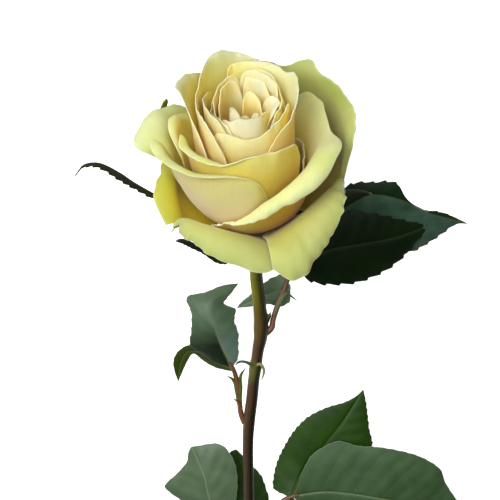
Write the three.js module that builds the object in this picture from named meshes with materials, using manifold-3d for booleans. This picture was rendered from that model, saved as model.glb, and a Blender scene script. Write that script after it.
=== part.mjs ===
// A cut rose lying on a table: an open yellow bloom on a long stem with four leaves.
// Millimetres, +Z up. The stem runs along Y, with the bloom at +Y and the cut end at -Y.

import * as THREE from 'three';
import { mergeVertices } from 'three/addons/utils/BufferGeometryUtils.js';
import Module from 'manifold-3d';

const wasm = await Module();
wasm.setup();

// Driving dimensions, in millimetres and degrees

const PETAL_THICKNESS = 0.6;
const LEAF_THICKNESS = 0.6;
const SEPAL_THICKNESS = 0.7;

const BLOOM_RISE = 20; // the bloom's axis over the table
const BLOOM_LEAN = 4; // its turn to the left, seen from above
const HIP_SHOULDER_HEIGHT = 30; // the middle of the bloom's base over the table

const HIP_RADIUS = 9.9;
const NECK_RADIUS = 3.3;
const NECK_DEPTH = 14; // from the shoulder down to the neck
const SEAT_LINE = 10.2; // radius plus height of every petal's foot, a cone of 45 degrees
const SEAT_GAP = 0.58; // the hip's cone under that line, measured along the axis
const CLAW_HALF_ANGLE = 22; // half of the arc that a petal's foot takes up

const STEM_RADIUS = 2.5;
const CUT_END_Y = -341;
const CUT_SLANT = 40;

const WALL_STEPS = 6;
const WALL_CROWDING = 1.3; // the steps lie closer together near the foot
const LIP_STEPS = 3;
const PLAIN_LIP = 4; // a lip no longer than this is a single step
const TOOTH_PITCH = 9;
const TOOTH_DEPTH = 1.1;
const MARGIN_LIFT = 0.05; // how far a blade bulges between midrib and margin, per unit of width
const PRESSED_BELOW = 1.3; // what comes nearer to the table than this lies pressed flat on it

const radians = THREE.MathUtils.degToRad;
const point = ([x, y, z]) => new THREE.Vector3(x, y, z);

// Materials

const paint = (color, roughness) => new THREE.MeshStandardMaterial({ color, roughness, metalness: 0 });
const outerPetal = paint(0xd3d67c, 0.62);
const innerPetal = paint(0xecd98c, 0.6);
const heartPetal = paint(0xe9c878, 0.6);
const leafGreen = paint(0x2b4329, 0.5);
const sepalGreen = paint(0x3b4a22, 0.6);
const stemBark = paint(0x5d5130, 0.55);

// The bloom's own frame: Z along its axis, X to the right, Y down to the table

const lean = radians(BLOOM_LEAN);
const rise = radians(BLOOM_RISE);
const bloomAxis = new THREE.Vector3(
  -Math.sin(lean) * Math.cos(rise),
  Math.cos(lean) * Math.cos(rise),
  Math.sin(rise),
);
const bloomRight = new THREE.Vector3(1, 0, 0).addScaledVector(bloomAxis, -bloomAxis.x).normalize();
const bloomDown = new THREE.Vector3().crossVectors(bloomAxis, bloomRight);
const bloomFrame = new THREE.Matrix4()
  .makeBasis(bloomRight, bloomDown, bloomAxis)
  .setPosition(0, 0, HIP_SHOULDER_HEIGHT);

const rose = new THREE.Group();
const bloom = new THREE.Group();
bloom.applyMatrix4(bloomFrame);
rose.add(bloom);

function addPiece(parent, name, geometry, material) {
  const mesh = new THREE.Mesh(geometry, material);
  mesh.name = name;
  parent.add(mesh);
}

function cylindrical(radius, azimuth, height) {
  const angle = radians(azimuth);
  return new THREE.Vector3(radius * Math.cos(angle), radius * Math.sin(angle), height);
}

const bloomPoint = (radius, azimuth, height) => cylindrical(radius, azimuth, height).applyMatrix4(bloomFrame);

// Solids from vertices and faces

function closedGeometry(vertices, index) {
  const positions = vertices.flatMap((vertex) => vertex.toArray());
  const geometry = new THREE.BufferGeometry();
  geometry.setAttribute('position', new THREE.Float32BufferAttribute(positions, 3));
  geometry.setIndex(index);
  geometry.computeVertexNormals();
  return geometry;
}

// A sheet of even thickness about a grid of points, with both faces split along the same diagonals.
// The first layer of vertices lies on the side that across x along points to.
function sheetSolid(rows, thickness) {
  const last = rows.length - 1;
  const end = rows[0].length - 1;
  const layers = [[], []];
  rows.forEach((row, j) => row.forEach((middle, i) => {
    const along = rows[Math.min(j + 1, last)][i].clone().sub(rows[Math.max(j - 1, 0)][i]);
    const across = row[Math.min(i + 1, end)].clone().sub(row[Math.max(i - 1, 0)]);
    const normal = across.cross(along).normalize();
    layers[0].push(middle.clone().addScaledVector(normal, thickness / 2));
    layers[1].push(middle.clone().addScaledVector(normal, -thickness / 2));
  }));
  const width = end + 1;
  const count = width * rows.length;
  const at = (j, i) => j * width + i;
  const index = [];
  for (let j = 0; j < last; j++) {
    for (let i = 0; i < end; i++) {
      const [a, b, c, d] = [at(j, i), at(j, i + 1), at(j + 1, i), at(j + 1, i + 1)];
      index.push(a, b, d, a, d, c);
      index.push(count + a, count + d, count + b, count + a, count + c, count + d);
    }
  }
  const border = [];
  for (let i = 0; i < end; i++) border.push(at(0, i));
  for (let j = 0; j < last; j++) border.push(at(j, end));
  for (let i = end; i > 0; i--) border.push(at(last, i));
  for (let j = last; j > 0; j--) border.push(at(j, 0));
  border.forEach((v, k) => {
    const w = border[(k + 1) % border.length];
    index.push(w, v, count + v, w, count + v, count + w);
  });
  return closedGeometry([...layers[0], ...layers[1]], index);
}

// A round bar along a smooth curve, with a radius at each of the curve's points
function bar(points, radii, steps, sides) {
  const curve = new THREE.CatmullRomCurve3(points);
  const frames = curve.computeFrenetFrames(steps, false);
  const vertices = [];
  const index = [];
  for (let k = 0; k <= steps; k++) {
    const centre = curve.getPointAt(k / steps);
    const place = curve.getUtoTmapping(k / steps) * (points.length - 1);
    const before = Math.min(Math.floor(place), points.length - 2);
    const radius = THREE.MathUtils.lerp(radii[before], radii[before + 1], place - before);
    for (let side = 0; side < sides; side++) {
      const angle = (2 * Math.PI * side) / sides;
      vertices.push(centre.clone()
        .addScaledVector(frames.normals[k], radius * Math.cos(angle))
        .addScaledVector(frames.binormals[k], radius * Math.sin(angle)));
    }
  }
  for (let k = 0; k < steps; k++) {
    for (let side = 0; side < sides; side++) {
      const next = (side + 1) % sides;
      const [a, b, c, d] = [k * sides + side, k * sides + next, (k + 1) * sides + side, (k + 1) * sides + next];
      index.push(a, b, d, a, d, c);
    }
  }
  const top = steps * sides;
  for (let side = 1; side < sides - 1; side++) {
    index.push(0, side + 1, side);
    index.push(top, top + side, top + side + 1);
  }
  return closedGeometry(vertices, index);
}

// Joining and cutting

function solidOf(geometry) {
  const bare = geometry.clone();
  bare.deleteAttribute('normal');
  bare.deleteAttribute('uv');
  const merged = mergeVertices(bare, 1e-4);
  return new wasm.Manifold(new wasm.Mesh({
    numProp: 3,
    vertProperties: merged.attributes.position.array,
    triVerts: new Uint32Array(merged.index.array),
  }));
}

function geometryOf(solid) {
  const mesh = solid.getMesh();
  const geometry = new THREE.BufferGeometry();
  geometry.setAttribute('position', new THREE.BufferAttribute(mesh.vertProperties, 3));
  geometry.setIndex(new THREE.BufferAttribute(mesh.triVerts, 1));
  geometry.computeVertexNormals();
  return geometry;
}

const join = (geometries) => geometries.map(solidOf).reduce((whole, piece) => whole.add(piece));

// Petals

// A value between the rows of a rim, on a smooth curve through all of them
function rimAt(rim, place) {
  const last = rim.length - 1;
  const k = Math.min(Math.floor(place), last - 1);
  const t = place - k;
  const beyond = (near, far) => near.map((value, n) => 2 * value - far[n]);
  const p1 = rim[k];
  const p2 = rim[k + 1];
  const p0 = k > 0 ? rim[k - 1] : beyond(p1, p2);
  const p3 = k < last - 1 ? rim[k + 2] : beyond(p2, p1);
  return p1.map((value, n) => 0.5 * (2 * value + (p2[n] - p0[n]) * t
    + (2 * p0[n] - 5 * value + 4 * p2[n] - p3[n]) * t ** 2
    + (3 * value - p0[n] - 3 * p2[n] + p3[n]) * t ** 3));
}

// One line of a petal from its foot up the wall and out along the lip.
// The wall leaves the foot at petal.start degrees from the axis and bellies out by petal.belly.
function petalLine(petal, place, lipSteps) {
  const [azimuth, rimRadius, rimHeight, rimLean, lipLength, lipRoll] = rimAt(petal.rim, place);
  const footRadius = petal.foot;
  const footHeight = SEAT_LINE - petal.foot;
  const footAzimuth = petal.footAzimuth + CLAW_HALF_ANGLE * ((2 * place) / (petal.rim.length - 1) - 1);
  const chord = Math.hypot(rimRadius - footRadius, rimHeight - footHeight);
  const startAngle = radians(petal.start);
  const rimAngle = radians(rimLean);
  const line = [];
  for (let step = 0; step <= WALL_STEPS; step++) {
    const s = (step / WALL_STEPS) ** WALL_CROWDING;
    const fromFoot = 2 * s ** 3 - 3 * s ** 2 + 1;
    const fromStart = (s ** 3 - 2 * s ** 2 + s) * petal.belly * chord;
    const fromEnd = (s ** 3 - s ** 2) * chord;
    const radius = fromFoot * footRadius + fromStart * Math.sin(startAngle)
      + (1 - fromFoot) * rimRadius + fromEnd * Math.sin(rimAngle);
    const height = fromFoot * footHeight + fromStart * Math.cos(startAngle)
      + (1 - fromFoot) * rimHeight + fromEnd * Math.cos(rimAngle);
    const spread = THREE.MathUtils.smoothstep(s, 0, 0.45);
    line.push(cylindrical(radius, THREE.MathUtils.lerp(footAzimuth, azimuth, spread), height));
  }
  const roll = Math.max(radians(lipRoll), 1e-3);
  const bend = Math.max(lipLength, 0.3) / roll;
  for (let step = 1; step <= lipSteps; step++) {
    const turned = rimAngle + (roll * step) / lipSteps;
    const radius = rimRadius + bend * (Math.cos(rimAngle) - Math.cos(turned));
    const height = rimHeight + bend * (Math.sin(turned) - Math.sin(rimAngle));
    line.push(cylindrical(radius, azimuth, height));
  }
  return line;
}

function petalSheet(petal, sparse = false) {
  const intervals = petal.rim.length - 1;
  const columns = sparse || intervals > 7 ? intervals : intervals * 2;
  const lipSteps = Math.max(...petal.rim.map((row) => row[4])) > PLAIN_LIP ? LIP_STEPS : 1;
  const lines = [];
  for (let i = 0; i <= columns; i++) {
    lines.push(petalLine(petal, (i * intervals) / columns, lipSteps));
  }
  const rows = lines[0].map((_, j) => lines.map((line) => line[j]));
  return sheetSolid(rows, PETAL_THICKNESS);
}

// Flattens a petal's outer face where it lies on the table, and keeps its thickness there
function layOnTable(geometry) {
  const position = geometry.attributes.position;
  const toBloom = bloomFrame.clone().invert();
  const half = position.count / 2;
  const vertex = new THREE.Vector3();
  for (let k = 0; k < half; k++) {
    const outer = vertex.fromBufferAttribute(position, k).applyMatrix4(bloomFrame);
    if (outer.z >= PRESSED_BELOW) continue;
    outer.setZ(0).applyMatrix4(toBloom);
    position.setXYZ(k, ...outer.toArray());
    const inner = vertex.fromBufferAttribute(position, k + half).applyMatrix4(bloomFrame);
    inner.setZ(PETAL_THICKNESS).applyMatrix4(toBloom);
    position.setXYZ(k + half, ...inner.toArray());
  }
  return geometry;
}

// Rim rows: azimuth, radius and height at the top of the wall, the wall's lean from the axis there,
// then the length of the lip beyond it and how far that lip rolls outwards

const guardPetals = [
  { name: 'guard_front_left', foot: 10, footAzimuth: 243, start: 84, belly: 1.1, rim: [
    [206, 33, 8, 60, 5.5, 90], [211, 33.4, 13.5, 54, 6.5, 125], [217, 33.5, 16.6, 52, 5, 135],
    [227, 33.3, 18, 50, 8.8, 130], [240, 33.1, 18.8, 50, 12.8, 125],
    [252, 32.9, 18.1, 52, 15.8, 120], [264, 32.2, 16, 56, 17.2, 115],
    [273, 31.9, 13.4, 60, 17, 105], [280.6, 31.9, 10.6, 62, 13.5, 85]] },
  { name: 'guard_front_right', foot: 9.3, footAzimuth: 318, start: 84, belly: 1.1, rim: [
    [280.4, 31.7, 12.4, 60, 16, 90], [287, 32, 13.6, 58, 23.5, 110], [295, 32.1, 16, 55, 25, 125],
    [305, 32.2, 18.5, 50, 22, 125], [317, 32.6, 21, 45, 15.5, 110], [329, 33.4, 22.8, 40, 11, 90],
    [339, 34.8, 23, 36, 5.5, 60], [345, 36.3, 22, 30, 2.6, 40], [348.5, 36.8, 15, 26, 1.5, 20]] },
  { name: 'guard_left', foot: 10, footAzimuth: 170, start: 84, belly: 1.15, rim: [
    [138, 29.5, 12, 20, 4, 40], [150, 30.5, 17, 15, 6, 80], [164, 31, 19, 12, 8, 100],
    [178, 30.8, 17.5, 12, 9.5, 105], [190, 30.4, 12, 18, 12.5, 88], [202, 29.6, 4, 30, 10, 70]] },
  { name: 'guard_back_left', foot: 10.2, footAzimuth: 101, start: 84, belly: 1.15, rim: [
    [64, 34, 6, 30, 3, 30], [76, 35.4, 13, 25, 5, 50], [88, 36.2, 17, 20, 6, 50],
    [101, 36.2, 18, 18, 7, 50], [114, 35.4, 17, 20, 6, 50], [126, 34, 13, 25, 5, 50],
    [135, 32, 6, 30, 3, 30]] },
  { name: 'guard_back_right', foot: 9.5, footAzimuth: 30, start: 82, belly: 1.15, rim: [
    [-9.5, 35, 14, 10, 3, 20], [-5, 36.5, 25, 12, 7, 45], [3, 38, 33, 12, 9, 50],
    [14, 38.5, 37.5, 10, 9, 50], [27, 38.5, 41, 8, 8, 40], [40, 37, 45, 6, 7, 35],
    [50, 36, 48, 8, 8, 50], [64, 35, 47.5, 5, 4, 30], [80, 34, 48.5, 5, 4, 25],
    [94, 33, 44, 5, 4, 20], [104, 32, 34, 5, 2, 10]] },
];

const innerPetals = [
  { name: 'right_front', foot: 8.5, footAzimuth: 318, start: 80, belly: 1.2, rim: [
    [240, 26.5, 13, 38, 1, 20], [249, 27.9, 17.5, 30, 2, 60], [258, 29.3, 20.5, 18, 4, 120],
    [268, 29.8, 23.5, 8, 6, 170], [279, 30, 28, 5, 9, 180], [291, 30, 31.5, 5, 11, 185],
    [304, 30, 34.5, 5, 13, 180], [318, 29.6, 37, 6, 14.5, 160], [331, 28.6, 38.2, 11, 13.8, 125],
    [343, 27.6, 37, 20, 14, 90], [356, 26.6, 35.6, 28, 9.8, 50], [367, 26.1, 35.8, 27, 9.2, 32],
    [378, 25.8, 38, 26, 9.8, 30], [389, 25.6, 38.5, 26, 10.3, 30], [400, 25.5, 38.7, 25, 10.3, 30],
    [410, 25.3, 36.3, 22, 7, 25]] },
  { name: 'left_outer', foot: 7.1, footAzimuth: 154, start: 80, belly: 1.2, rim: [
    [131, 30.5, 30, 15, 3, 20], [140, 32, 36, 18, 6, 35], [151, 32.5, 37.5, 20, 9, 50],
    [161, 32.5, 38, 22, 12, 65], [169, 32, 36.5, 22, 14, 90], [175, 31, 34.5, 22, 17.5, 105],
    [180, 30.2, 31, 20, 16, 100], [184, 28.4, 25, 12, 5, 70]] },
  { name: 'back_under', foot: 7.6, footAzimuth: 86, start: 78, belly: 1.15, rim: [
    [59, 26.2, 28, 0, 2, 10], [67, 27.6, 40, 5, 3, 30], [79, 28.5, 46, 5, 6, 50],
    [94, 29, 46, 8, 8, 60], [108, 28.5, 41, 8, 7, 50], [119, 27.5, 29, 5, 3, 20]] },
  { name: 'back_right_inner', foot: 6.8, footAzimuth: 22, start: 74, belly: 1.1, rim: [
    [-23, 21.8, 24, 2, 1, 10], [-16, 21.9, 27, 2, 1, 10], [-4, 22, 29, 2, 1, 10],
    [10, 22, 29, 2, 1, 10], [26, 21.7, 29, 2, 1, 10], [44, 21.5, 28, 2, 1, 10],
    [58, 21.4, 24, 0, 1, 10]] },
  { name: 'front_left', foot: 7.8, footAzimuth: 226, start: 80, belly: 1.25, rim: [
    [185.5, 33.2, 30, 20, 2, 20], [188, 34, 41, 20, 5, 45], [193, 34, 42, 16, 7.5, 75],
    [200, 33, 39.6, 10, 8, 90], [210, 31.5, 38.8, 4, 8, 95], [224, 30.4, 38.6, 0, 8, 100],
    [242, 29.5, 39.6, -4, 7, 100], [260, 28.5, 40, -7, 5, 80], [274, 27.3, 38, -5, 2, 40],
    [283, 25.8, 31, 0, 1, 20], [288, 24.6, 21, 0, 1, 20]] },
  { name: 'left_inner', foot: 6.4, footAzimuth: 166, start: 76, belly: 1.15, rim: [
    [140, 26.5, 32, 5, 3, 20], [150, 27.5, 39, 8, 4, 40], [162, 28.5, 42, 12, 5, 60],
    [175, 28.5, 42, 12, 5, 70], [186, 27.5, 38, 8, 4, 60], [195, 26.8, 30, 0, 2, 30]] },
  { name: 'front_second', foot: 6.8, footAzimuth: 268, start: 70, belly: 1.1, rim: [
    [198, 26, 46, 5, 1, 20], [204, 26.3, 49, 5, 4, 50], [211, 26.3, 45, 5, 7, 80],
    [224, 26, 44, 0, 7.5, 100], [240, 26, 44.4, -4, 6.5, 110], [256, 26, 45.4, -5, 4, 80],
    [273, 25.5, 47.8, -4, 1.5, 20], [291, 25, 48.6, -2, 1, 0], [307, 24.6, 48, 2, 1, 0],
    [321, 24, 46, 4, 1, 0], [329, 23.2, 38, 3, 1, 0]] },
];

const budPetals = [
  { name: 'left_tip', foot: 5.8, footAzimuth: 165, start: 70, belly: 1.12, rim: [
    [118, 24.5, 50, 10, 1, 10], [134, 24.6, 58, 10, 2, 20], [149, 24.6, 60.5, 14, 3, 30],
    [163, 24.6, 62, 18, 4, 40], [176, 24.6, 63.5, 22, 4, 50], [187, 24, 62.5, 16, 2, 20],
    [198, 23.2, 59, 12, 1, 0], [208, 22.7, 54, 10, 1, 0], [216, 22.3, 48.5, 8, 1, 0],
    [223, 22, 41, 8, 1, 0]] },
  { name: 'back_left_tall', foot: 5.1, footAzimuth: 155, start: 70, belly: 1.05, rim: [
    [64, 23.2, 52, 5, 1, 10], [75, 23.3, 59, 5, 2, 10], [87, 23, 61.5, 5, 2, 15],
    [101, 22.4, 63.5, 6, 3, 20], [114, 22, 66, 8, 3, 20], [126, 21.7, 65, 8, 3, 20],
    [146, 20.8, 62, 6, 2, 10], [168, 19.6, 60.5, 4, 1, 0], [190, 19.5, 59, 4, 1, 0],
    [206, 19.8, 58, 6, 1, 0], [220, 20.2, 56, 8, 1, 0], [231, 20.4, 52, 8, 1, 0],
    [241, 20.5, 47, 8, 1, 0], [247, 20.5, 40, 8, 1, 0]] },
  { name: 'bud_right', foot: 4.4, footAzimuth: 378, start: 70, belly: 1.06, rim: [
    [289, 19.6, 42, 4, 1, 0], [301, 19.8, 48.5, 6, 1, 0], [314, 20.3, 53, 8, 1, 0],
    [330, 21, 57.5, 12, 1, 0], [346, 20.8, 60, 15, 2, 10], [362, 20.4, 60.5, 15, 3, 20],
    [376, 20.2, 60.2, 12, 3.5, 25], [388, 20.2, 59.6, 12, 4.2, 25], [400, 20.2, 58.8, 10, 3, 20],
    [418, 20.2, 59.6, 8, 3, 20], [438, 19.8, 60.2, 6, 2.5, 20], [454, 18.4, 60, 4, 2, 10],
    [466, 16.6, 58, 0, 1, 0], [475, 15.6, 51, 0, 1, 0]] },
  { name: 'bud_left', foot: 3, footAzimuth: 180, start: 70, belly: 0.94, rim: [
    [122, 17, 46, 2, 1, 0], [134, 17.2, 52, 2, 1, 0], [149, 17.2, 56, 2, 1, 0],
    [170, 17, 58, 2, 1, 0], [192, 16.6, 59, 2, 1, 0], [212, 16.3, 59, 2, 1, 0],
    [228, 16.1, 57, 2, 1, 0], [238, 15.8, 53, 2, 1, 0], [245, 15.5, 46, 2, 1, 0]] },
  { name: 'bud_front', foot: 3.7, footAzimuth: 288, start: 70, belly: 0.98, rim: [
    [214, 17.9, 40, 0, 1, 0], [224, 17.7, 50, 0, 1, 0], [238, 17.5, 53, 0, 1, 0],
    [254, 17.4, 52.6, 0, 1, 0], [272, 17.3, 51, 0, 1, 0], [288, 17.3, 51.5, 0, 1, 0],
    [302, 17.3, 53.5, 0, 1, 0], [316, 17.4, 55.5, 2, 1, 0], [334, 17.4, 58, 4, 1, 0],
    [350, 17, 57, 4, 1, 0], [360, 16.6, 48, 4, 1, 0]] },
  { name: 'bud_second', foot: 3.7, footAzimuth: 56, start: 70, belly: 0.95, rim: [
    [6, 15.2, 42, 0, 1, 0], [18, 15.4, 50.5, 0, 1, 0], [34, 15.7, 56, 0, 2, 10],
    [50, 16.1, 59, 0, 2, 20], [66, 16.1, 60, 0, 2, 20], [80, 15.6, 60, 0, 2, 10],
    [94, 14.8, 58, -4, 1, 0], [106, 14, 50, -6, 1, 0]] },
];

const heartPetals = [
  { foot: 2.2, footAzimuth: 178, start: 70, belly: 0.95, rim: [
    [110, 13.6, 48, -2, 1, 0], [118, 14, 54, 0, 1, 0], [128, 14.2, 55.5, 0, 1, 0],
    [142, 14.2, 53.5, 0, 1, 0], [160, 14, 52.5, 0, 1, 0], [184, 13.8, 53, 0, 1, 0],
    [206, 13.8, 54.5, -2, 1, 0], [226, 13.6, 56, -4, 1, 0], [240, 13.4, 56, -4, 1, 0],
    [250, 13.2, 50, -4, 1, 0]] },
  { foot: 2.2, footAzimuth: -10, start: 70, belly: 0.95, rim: [
    [-44, 13.6, 48, -2, 1, 0], [-33, 13.8, 53.5, 0, 1, 0], [-18, 13.8, 54, 2, 2, 20],
    [-2, 13.6, 53, 2, 2, 20], [14, 13.4, 51, 0, 1, 10], [24, 13, 44, 0, 1, 0]] },
  { foot: 2.2, footAzimuth: 66, start: 70, belly: 0.95, rim: [
    [30, 13, 46, -4, 1, 0], [43, 13, 51, -2, 1, 0], [58, 12.8, 54.5, 0, 1, 10],
    [74, 12.6, 57, 0, 1.5, 10], [90, 12.2, 58, 0, 1.5, 10], [102, 12, 52, 0, 1, 0]] },
  { foot: 1.9, footAzimuth: 272, start: 70, belly: 0.95, rim: [
    [222, 11.4, 48, -4, 1, 0], [236, 11.7, 55, -4, 1, 0], [252, 12, 58, -4, 1, 0],
    [270, 12, 58, -4, 1, 0], [290, 12, 57, -4, 1, 0], [308, 12, 55.5, -4, 1, 0],
    [320, 12, 48, -2, 1, 0]] },
  { foot: 1.9, footAzimuth: 4, start: 70, belly: 0.95, rim: [
    [-34, 11, 47, -4, 1, 0], [-22, 11.4, 51, 0, 2, 20], [-6, 11.4, 52, 5, 4, 50],
    [12, 11.4, 52.5, 5, 4, 50], [30, 10.8, 50, 0, 2, 20], [44, 10.2, 44, -4, 1, 0]] },
  { foot: 1.9, footAzimuth: 165, start: 70, belly: 0.95, rim: [
    [118, 10.4, 44, -4, 1, 0], [134, 11.2, 51, -2, 1, 0], [152, 11.4, 51.5, -2, 1, 0],
    [172, 11.2, 51.5, -2, 1, 0], [194, 10.8, 53, -4, 1, 0], [210, 10.4, 50, -6, 1, 0]] },
  { foot: 1.4, footAzimuth: 76, start: 72, belly: 0.95, rim: [
    [26, 7.6, 42, -8, 1, 0], [50, 8.6, 48, -4, 1, 0], [76, 8.8, 50, -2, 1, 10],
    [100, 8.2, 49, -4, 1, 0], [122, 7.2, 43, -8, 1, 0]] },
  { foot: 1.4, footAzimuth: 196, start: 72, belly: 0.95, rim: [
    [140, 6.2, 40, -8, 1, 0], [166, 7, 46, -6, 1, 10], [198, 7.6, 50, -4, 2, 60],
    [230, 7.8, 48, -6, 1, 10], [252, 7.8, 40, -8, 1, 0]] },
  { foot: 1.4, footAzimuth: 335, start: 72, belly: 0.95, rim: [
    [278, 5.8, 38, -8, 1, 0], [308, 6.2, 46, -8, 1, 0], [342, 6.2, 47, -4, 1, 10],
    [370, 5.8, 44, -8, 1, 0], [392, 5.2, 38, -8, 1, 0]] },
];

for (const petal of guardPetals) {
  const sheet = petalSheet(petal);
  addPiece(bloom, petal.name, petal.name === 'guard_back_left' ? layOnTable(sheet) : sheet, outerPetal);
}
for (const petal of [...innerPetals, ...budPetals]) {
  addPiece(bloom, petal.name, petalSheet(petal), innerPetal);
}

// The heart: the smallest petals, grown together on a slim core that they stand out of
const CORE_PROFILE = [[0, 10], [2.3, 7.75], [2.7, 8.8], [4.4, 12.5], [5.4, 20], [5.2, 30], [3.6, 38],
  [0, 41]];
const core = new THREE.LatheGeometry(CORE_PROFILE.map(([r, h]) => new THREE.Vector2(r, h)), 14);
core.rotateX(Math.PI / 2);
const heartSheets = heartPetals.map((petal) => petalSheet(petal, true));
addPiece(bloom, 'bloom_heart', geometryOf(join([core, ...heartSheets])), heartPetal);

// Sepals: five, from the hip's shoulder, each a tapering blade along its own path.
// Path rows: azimuth, radius, height and half width

const SEPAL_ROOT_HEIGHT = -2.3;
const SEPAL_ROOT_RADIUS = HIP_RADIUS + 0.7;

const sepals = [
  { name: 'sepal_left', azimuth: 171, path: [
    [168, 21, -3.6, 2.2], [165, 33, -0.6, 1.1], [165, 42, 3.4, 1.1], [165, 51, 8.2, 1.5],
    [164.5, 57.5, 12.1, 1.8], [164.5, 65.5, 16.4, 1.3], [165, 72, 15.8, 0.8], [166, 76, 11.8, 0.3]] },
  { name: 'sepal_lower_left', azimuth: 212, path: [
    [208, 11.8, -10, 3.4], [197, 13.2, -19, 2.8], [187, 17.4, -21.2, 2], [180, 22.4, -18.6, 1],
    [176, 27.6, -15.8, 1.8], [174.5, 31.5, -14.4, 1.4], [173, 34, -15, 0.4]] },
  { name: 'sepal_back_left', azimuth: 128, path: [
    [134, 24, -3.4, 3.2], [141, 37, 4, 2.8], [144, 44, 17, 2.6], [144.5, 45.5, 29, 2.6],
    [144.3, 43.8, 36, 2.7], [144, 42.6, 40, 2.6], [143.8, 42.1, 42.2, 1.6]] },
  { name: 'sepal_right', azimuth: 22, path: [
    [21.5, 17, -4, 3.8], [20.5, 27, -3.4, 3.4], [20, 35, -1.6, 2.8], [19, 40, -1.2, 2.2],
    [18, 45.8, -1.9, 1.3], [17, 50.6, -4, 0.3]] },
  { name: 'sepal_under', azimuth: 88, path: [
    [88, 13, -7, 3.8], [89, 16.5, -15, 3.4], [90, 18, -24, 2.4], [91, 16.5, -33, 1.2],
    [92, 14.5, -38, 0.3]] },
];

// A smooth row of numbers through hand-set rows, at a place from 0 to 1
function smoothRow(rows, place) {
  return rimAt(rows, place * (rows.length - 1));
}

function sepalSheet(sepal) {
  const root = [sepal.azimuth, SEPAL_ROOT_RADIUS, SEPAL_ROOT_HEIGHT, 3.4];
  const path = [root, ...sepal.path];
  const steps = path.length + 1;
  const rows = [];
  for (let j = 0; j <= steps; j++) {
    const [azimuth, radius, height, halfWidth] = smoothRow(path, j / steps);
    const middle = cylindrical(radius, azimuth, height);
    const sideways = cylindrical(Math.max(halfWidth, 0.25), azimuth + 90, 0);
    rows.push([middle.clone().sub(sideways), middle, middle.clone().add(sideways)]);
  }
  return sheetSolid(rows, SEPAL_THICKNESS);
}

for (const sepal of sepals) {
  addPiece(bloom, sepal.name, sepalSheet(sepal), sepalGreen);
}

// Stem: the hip, the neck, the stem with its nodes and prickles, and the slanting cut

const HIP_PROFILE = [
  [0, SEAT_LINE - SEAT_GAP], [HIP_RADIUS, SEAT_LINE - SEAT_GAP - HIP_RADIUS], [HIP_RADIUS, -3.6],
  [9, -6.4], [7.2, -9.2], [5.2, -11.8], [4, -NECK_DEPTH], [0, -NECK_DEPTH - 1.5]];
const hip = new THREE.LatheGeometry(HIP_PROFILE.map(([r, h]) => new THREE.Vector2(r, h)).reverse(), 20);
hip.rotateX(Math.PI / 2);
hip.applyMatrix4(bloomFrame);

// Points down the middle of the stem, with its radius
const STEM_LINE = [
  [0.5, -28, 22.3, 2.75], [1.7, -41, 20.9, 2.75], [2.4, -49, 20.2, 3], [2.6, -54, 19.8, 3.3],
  [2.3, -59, 19.4, 2.9], [1.4, -64, 19, 2.6], [0.9, -68, 18.8, 2.5], [0.4, -71.5, 18.5, 2.75],
  [-0.3, -77, 18.1, 2.55], [-1.3, -88, 17.3, STEM_RADIUS], [-2.4, -98, 16.6, 2.65], [-2.9, -108, 16.1, 2.4],
  [-2.8, -122, 15.3, 2.3],
  [-2.5, -136.5, 14.4, 2.4], [-1.8, -151, 13.5, 2.7], [-1.2, -160, 12.9, 3.1], [-0.6, -170, 12.3, 2.6],
  [0.2, -184, 11.4, 3], [0.9, -196, 10.7, 2.6], [2, -220, 9.3, 2.6], [2.8, -250, 7.6, 3.1],
  [3, -262, 6.9, 2.65], [3, -300, 4.7, 2.7], [2.4, -350, 2.6, 2.8]];
const neckLine = [[-NECK_DEPTH + 3, 3.6], [-NECK_DEPTH - 3, NECK_RADIUS]];
const stemPoints = [...neckLine.map(([height]) => bloomPoint(0, 0, height)), ...STEM_LINE.map(point)];
const stemRadii = [...neckLine.map(([, radius]) => radius), ...STEM_LINE.map((row) => row[3])];
const stemBar = bar(stemPoints, stemRadii, 44, 10);

// Axil buds, the withered stub of a leaf and its stipule at the upper node
const axilBud = bar([[4, -52.5, 20.3], [5.8, -49.2, 21], [6.7, -46.2, 21.3]].map(point), [1, 0.9, 0.3], 4, 6);
const archStipule = bar(
  [
    [-0.4, -72.2, 19.5], [-2, -69.5, 21.8], [-4.4, -68, 22.7], [-6.8, -68.4, 22.5], [-8, -69.6, 21.9],
  ].map(point),
  [1, 0.75, 0.55, 0.5, 0.25], 8, 6);
const hookStipule = bar(
  [[0.3, -71, 20], [2.1, -69.8, 21], [3.4, -71.2, 21.2], [3.7, -74.4, 20.4], [2.6, -77.4, 19.8]].map(point),
  [0.8, 0.7, 0.6, 0.5, 0.25], 8, 6);
const lowerBud = bar([[2.8, -251, 9.5], [2.4, -247, 11],
  [2.2, -244, 11.5]].map(point), [1.4, 1.1, 0.3], 4, 6);

// Prickles of the lower stem: a broad foot along the stem and a tip that hooks towards the cut end.
// Rows: place along the stem, and the angle round it from the right-hand side
const PRICKLE_PLACES = [[-208, 30], [-231, 160], [-277, 70], [-303, 200]];
const PRICKLE_LENGTH = 4.5;

function prickle([y, angle]) {
  const below = STEM_LINE.findIndex((row) => row[1] < y);
  const [near, far] = [STEM_LINE[below - 1], STEM_LINE[below]];
  const share = (y - near[1]) / (far[1] - near[1]);
  const centre = point(near).lerp(point(far), share);
  const outward = new THREE.Vector3(Math.cos(radians(angle)), 0, Math.sin(radians(angle)));
  const reach = (out, along) => centre.clone().addScaledVector(outward, out).add(point([0, along, 0]));
  const halfway = reach(STEM_RADIUS + PRICKLE_LENGTH / 2, -1);
  const tip = reach(STEM_RADIUS + PRICKLE_LENGTH, -3);
  return bar([reach(1.5, 1), reach(2.8, 0.2), halfway, tip], [1.7, 1.25, 0.7, 0.15], 4, 6);
}

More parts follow.
